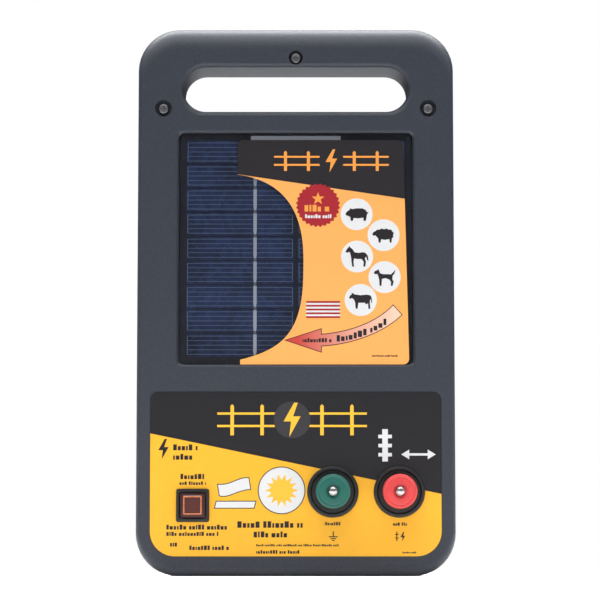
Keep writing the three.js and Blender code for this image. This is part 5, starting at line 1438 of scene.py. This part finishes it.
# The battery's plain dark grey case has a fine, even grain.
case_grey = moulded("grey ABS battery case", "#3b3d40", 0.5, 1.0, 0.03, 0.06)
dress(case_grey, "battery")
dress(brass, "battery_tab_positive", "battery_tab_negative")
dress(rubber, "door_seal")
door_back = CASE_DEPTH
door = drawn(
    sheet(door_low.x, door_high.x, door_low.z, door_high.z, 3, door_back - DOOR_THICKNESS),
    [
        (door_back - DOOR_THICKNESS, 0, 0, 0),
        (door_back - 0.6, 0, 0, 0),
        (door_back - 0.15, 0.2, 0.2, 0.2),
        (door_back, 0.7, 0.7, 0.7),
    ],
)
rim = cut(
    block(bay[0] + 0.8, bay[1] - 0.8, bay[2] + 0.8, bay[3] - 0.8, 1, DOOR_SEAT - 1.6, door_back - 1),
    block(bay[0] + 3, bay[1] - 3, bay[2] + 3, bay[3] - 3, 1, DOOR_SEAT - 3, door_back - DOOR_THICKNESS),
)
ribs = []
for i in range(4):
    z = bay[2] + 14 + 8 * i
    ribs.append(
        drawn(
            sheet(bay[0] + 8, bay[1] - 8, z, z + 3, 1.4, door_back - 0.5, 4),
            [
                (door_back - 0.5, 0, 0, 0),
                (door_high.y - 0.3, 0.05, 0.05, 0.05),
                (door_high.y, 0.5, 0.5, 0.5),
            ],
        )
    )
door = joined(door, rim, *ribs)
door = cut(
    door, *[bar(at.x, at.z, SCREW_BORE, DOOR_SEAT, door_back + 1, 20) for at in door_screw_places]
)
piece("bay_door", door, slate_abs, ["battery_door"])

# ---- Circuit board -------------------------------------------------------------------------------
# A green glass-epoxy board carries the pulse transformer, its storage capacitor, the thyristor that
# discharges it and the chip that times it.

# Solder mask is a mottled green gloss, the core shows its stacked plates as fine lines, and so does
# the coil its turns of wire. The sleeve is a smooth blue, and the packages a matt near-black.
board_green = moulded("green solder mask on glass epoxy", "#1f5a3c", 0.35, 0.8, 0.01, 0.12, 1.55)
lamination = metal("silicon steel laminations", "#6b6e72", 0.5, (9, 0.5, 9), 0.1)
copper = metal("enamelled copper wire", "#b4622f", 0.35, (9, 9, 0.45), 0.1)
capacitor_sleeve = moulded("blue heat-shrink sleeve", "#2c4a7a", 0.35, 1.5, 0.02, 0.05)
epoxy = moulded("black epoxy package", "#1e1f21", 0.5, 0.5, 0.01, 0.1)
dress(board_green, "circuit_board")
dress(lamination, "transformer_core")
dress(copper, "transformer_coil")
dress(capacitor_sleeve, "storage_capacitor")
dress(epoxy, "discharge_thyristor", "control_chip")

# ---- Power switch --------------------------------------------------------------------------------
# A black nylon rocker switch snapped into the back. The rocker tips on its pins, and its marks are
# a bar for on and a ring for off.

frame_low, frame_high = place("switch_frame")
switch_x, switch_z = switch_at.x, switch_at.z
MOUTH_HALF_WIDTH, MOUTH_HALF_LENGTH = 5.5, 8.5
PIVOT_Y = CASE_DEPTH - 4


def switch_sheet(half_width, half_length, y, radius=0.8):
    left, right = switch_x - half_width, switch_x + half_width
    return sheet(left, right, switch_z - half_length, switch_z + half_length, radius, y, 4)


half_wide, half_long = (frame_high.x - frame_low.x) / 2, (frame_high.z - frame_low.z) / 2
rim_back = frame_high.y
housing = drawn(
    switch_sheet(half_wide, half_long, CASE_DEPTH + 0.1, 1.2),
    [
        (CASE_DEPTH + 0.1, 0, 0, 0),
        (rim_back - 0.5, 0, 0, 0),
        (rim_back - 0.1, 0.2, 0.2, 0.2),
        (rim_back, 0.6, 0.6, 0.6),
    ],
)
body = drawn(switch_sheet(7.2, 9.2, frame_low.y), [(frame_low.y, 0, 0, 0), (CASE_DEPTH + 1, 0, 0, 0)])
opening = drawn(
    switch_sheet(MOUTH_HALF_WIDTH, MOUTH_HALF_LENGTH, PIVOT_Y - 9),
    [
        (PIVOT_Y - 9, 0, 0, 0),
        (rim_back - 0.4, 0, 0, 0),
        (rim_back + 0.1, -0.5, -0.5, -0.5),
        (rim_back + 1, -0.5, -0.5, -0.5),
    ],
)
pin_hole = bmesh.new()
bmesh.ops.create_cone(pin_hole, cap_ends=True, segments=24, radius1=1.5, radius2=1.5, depth=13.4)
bmesh.ops.rotate(pin_hole, verts=pin_hole.verts, matrix=Matrix.Rotation(math.pi / 2, 3, "Y"))
bmesh.ops.translate(pin_hole, verts=pin_hole.verts, vec=(switch_x, PIVOT_Y, switch_z))
housing = cut(joined(housing, body), opening, pin_hole)
piece("switch_housing", housing, black_nylon, ["switch_frame"])

# The rocker's side view is drawn about its pins, as depth and height, then tipped to off.
ROCKER_TILT = math.radians(-12)
half = MOUTH_HALF_LENGTH - 8 * math.sin(-ROCKER_TILT) - 0.3
side_view = [(-4.5, -1.5), (-2, -half * 0.8), (8, -half)]
heights = [half * (i / 6 - 1) for i in range(1, 12)]
side_view += [(8 - 1.6 * math.cos(math.pi / 2 * (z / half)), z) for z in heights]
side_view += [(8, half), (-2, half * 0.8), (-4.5, 1.5)]
rocker = bmesh.new()
face = rocker.faces.new([rocker.verts.new((-5.2, y, z)) for y, z in side_view])
made = bmesh.ops.extrude_face_region(rocker, geom=[face])["geom"]
far_side = [v for v in made if isinstance(v, bmesh.types.BMVert)]
bmesh.ops.translate(rocker, verts=far_side, vec=(10.4, 0, 0))
bmesh.ops.recalc_face_normals(rocker, faces=rocker.faces)
pin = bmesh.new()
bmesh.ops.create_cone(pin, cap_ends=True, segments=24, radius1=1.2, radius2=1.2, depth=12.2)
bmesh.ops.rotate(pin, verts=pin.verts, matrix=Matrix.Rotation(math.pi / 2, 3, "Y"))
rocker = joined(rocker, pin)
marks = bmesh.new()
bmesh.ops.create_cube(marks, size=1)
bmesh.ops.scale(marks, verts=marks.verts, vec=(0.7, 0.3, 2.6))
bmesh.ops.translate(marks, verts=marks.verts, vec=(0, 6.92, 3.9))
ring_mark = turned(0, 0, [(1.3, -0.15), (1.3, 0.15), (0.75, 0.15), (0.75, -0.15), (1.3, -0.15)], 32)
bmesh.ops.translate(ring_mark, verts=ring_mark.verts, vec=(0, 6.92, -3.9))
for bm in (rocker, marks, ring_mark):
    turn = Matrix.Translation((switch_x, PIVOT_Y, switch_z)) @ Matrix.Rotation(ROCKER_TILT, 4, "X")
    bmesh.ops.transform(bm, verts=bm.verts, matrix=turn)
piece("rocker", rocker, black_nylon, ["power_rocker"], body="power_rocker", round_mm=0.25)
piece("rocker_on_mark", marks, white_ink, body="power_rocker")
piece("rocker_off_mark", ring_mark, white_ink, body="power_rocker")

# ---- Screws --------------------------------------------------------------------------------------
# Zinc-plated pan-head thread-forming screws with a cross recess: three round the handle, driven from
# the front, and four through the case, two in the door and one on the board, driven from the back.

HEAD_RADIUS, HEAD_HEIGHT, SHANK_RADIUS = 3.6, 2.4, 1.6
# The screws' zinc is mid grey, darker than the studs', so only their rims catch the light.
dull_zinc = metal("zinc-plated screw steel, dull", "#8b8c90", 0.42, (0.35, 0.35, 0.35), 0.08)


def cross_screw(node, from_front):
    low, high = place(node)
    at = (low + high) / 2
    length = high.y - low.y
    coils = []
    depth = HEAD_HEIGHT + 0.6
    while depth < length - 2.4:
        root = SHANK_RADIUS - 0.4
        coils += [(SHANK_RADIUS, depth), (root, depth + 0.5), (root, depth + 0.8)]
        depth += 1.2
    profile = [
        (0, 0),
        (1.6, 0.05),
        *arc(HEAD_RADIUS - 1.1, 1.2, 1.1, -90, 0, 6),
        (HEAD_RADIUS, HEAD_HEIGHT - 0.2),
        (HEAD_RADIUS - 0.2, HEAD_HEIGHT),
        (SHANK_RADIUS, HEAD_HEIGHT),
        *coils,
        (SHANK_RADIUS - 0.4, length - 1.6),
        (0, length),
    ]
    made = turned(0, 0, profile, 36)
    arms = [block(-a, a, -b, b, 0.2, -1, 1.3, 2) for a, b in ((0.45, 2.1), (2.1, 0.45))]
    made = cut(made, *arms)
    if not from_front:
        bmesh.ops.rotate(made, verts=made.verts, matrix=Matrix.Rotation(math.pi, 3, "Z"))
    bmesh.ops.translate(made, verts=made.verts, vec=(at.x, low.y if from_front else high.y, at.z))
    piece(f"{node}_pan_head", made, dull_zinc, [node], sharp_degrees=40)


for node in handle_screws:
    cross_screw(node, True)
for node in [*case_screws, *door_screws, "board_screw"]:
    cross_screw(node, False)

# ---- Leads ---------------------------------------------------------------------------------------
# Stranded copper wire in extruded PVC, 2.2 mm thick over all. One runs to the board from each pole
# of the battery, from the panel and from each terminal.

# Extruded insulation is smooth, with one long soft highlight.
red_pvc = moulded("red PVC insulation, extruded", "#a32a26", 0.4, 2.0, 0.01, 0.05, 1.53)
black_pvc = moulded("black PVC insulation, extruded", "#1c1c1e", 0.4, 2.0, 0.01, 0.05, 1.53)
dress(red_pvc, "battery_lead_positive", "fence_lead")
dress(black_pvc, "battery_lead_negative", "solar_lead", "ground_lead")

# ---- Stage ---------------------------------------------------------------------------------------
# A pale paper floor in a white room. Soft lamps stand above and in front, and a weak one to the
# right, and the camera looks at the face from low down.

floor_bm = bmesh.new()
FLOOR_HALF = 1.2
bmesh.ops.create_grid(floor_bm, x_segments=1, y_segments=1, size=FLOOR_HALF)
floor = into_object(floor_bm, "floor")
# Matt white paper that glows a little, so that the floor doesn't end in a dark edge.
paper, paper_tree = new_material("white paper")
faint_glow = {"Emission Color": (1, 1, 1, 1), "Emission Strength": 0.15}
finished(paper_tree, {"Base Color": linear("#fafafa"), "Roughness": 0.9, **faint_glow})
floor.data.materials.append(paper)
world = bpy.data.worlds.new("studio")
bpy.context.scene.world = world
world.use_nodes = True
# The room is white and bright to look at, but it lights the object from its ceiling more than from
# its walls, so that flat faces aren't veiled by gloss.
backdrop = world.node_tree
toward = add(backdrop, "TexCoord").outputs["Generated"]
rise = add(backdrop, "SeparateXYZ", {"Vector": toward}).outputs["Z"]
ceiling = {"Value": rise, "From Min": 0.35, "From Max": 0.8, "To Min": 0.1, "To Max": 0.9}
room = add(backdrop, "MapRange", ceiling).outputs["Result"]
seen = add(backdrop, "LightPath").outputs["Is Camera Ray"]
walls = add(backdrop, "Math", {0: room, 1: seen}, operation="MAXIMUM").outputs["Value"]
backdrop.links.new(walls, backdrop.nodes["Background"].inputs["Strength"])
backdrop.nodes["Background"].inputs["Color"].default_value = (1, 1, 1, 1)
CAMERA_AT = Vector((0.0029, FACE_Y, 0.188))
CAMERA_AWAY, CAMERA_TILT = 1.75, math.radians(-5.9)
SENSOR_MM, VIEW_WIDTH = 36, 0.4107
eye = bpy.data.cameras.new("camera")
eye.sensor_width = SENSOR_MM
eye.lens = SENSOR_MM * CAMERA_AWAY / VIEW_WIDTH
camera = bpy.data.objects.new("camera", eye)
bpy.context.scene.collection.objects.link(camera)
back = Vector((0, -math.cos(CAMERA_TILT), math.sin(CAMERA_TILT)))
camera.location = CAMERA_AT + back * CAMERA_AWAY
camera.rotation_euler = (-back).to_track_quat("-Z", "Y").to_euler()
bpy.context.scene.camera = camera
bpy.context.scene.view_settings.view_transform = "Standard"


def lamp(name, location, target, size, power):
    data = bpy.data.lights.new(name, "AREA")
    data.shape, data.size, data.energy = "RECTANGLE", size[0], power
    data.size_y = size[1]
    made = bpy.data.objects.new(name, data)
    made.visible_camera = False
    made.location = location
    made.rotation_euler = (Vector(target) - Vector(location)).to_track_quat("-Z", "Y").to_euler()
    bpy.context.scene.collection.objects.link(made)


lamp("softbox above", (0, 0.12, 1.15), (0, 0, 0.37), (1.3, 0.5), 27)
lamp("softbox front", (-0.15, -0.88, 1.3), (0, 0, 0.18), (1.3, 0.6), 6.8)
lamp("softbox side", (1.7, -0.9, 0.7), (0, 0, 0.2), (0.6, 1.2), 1.6)
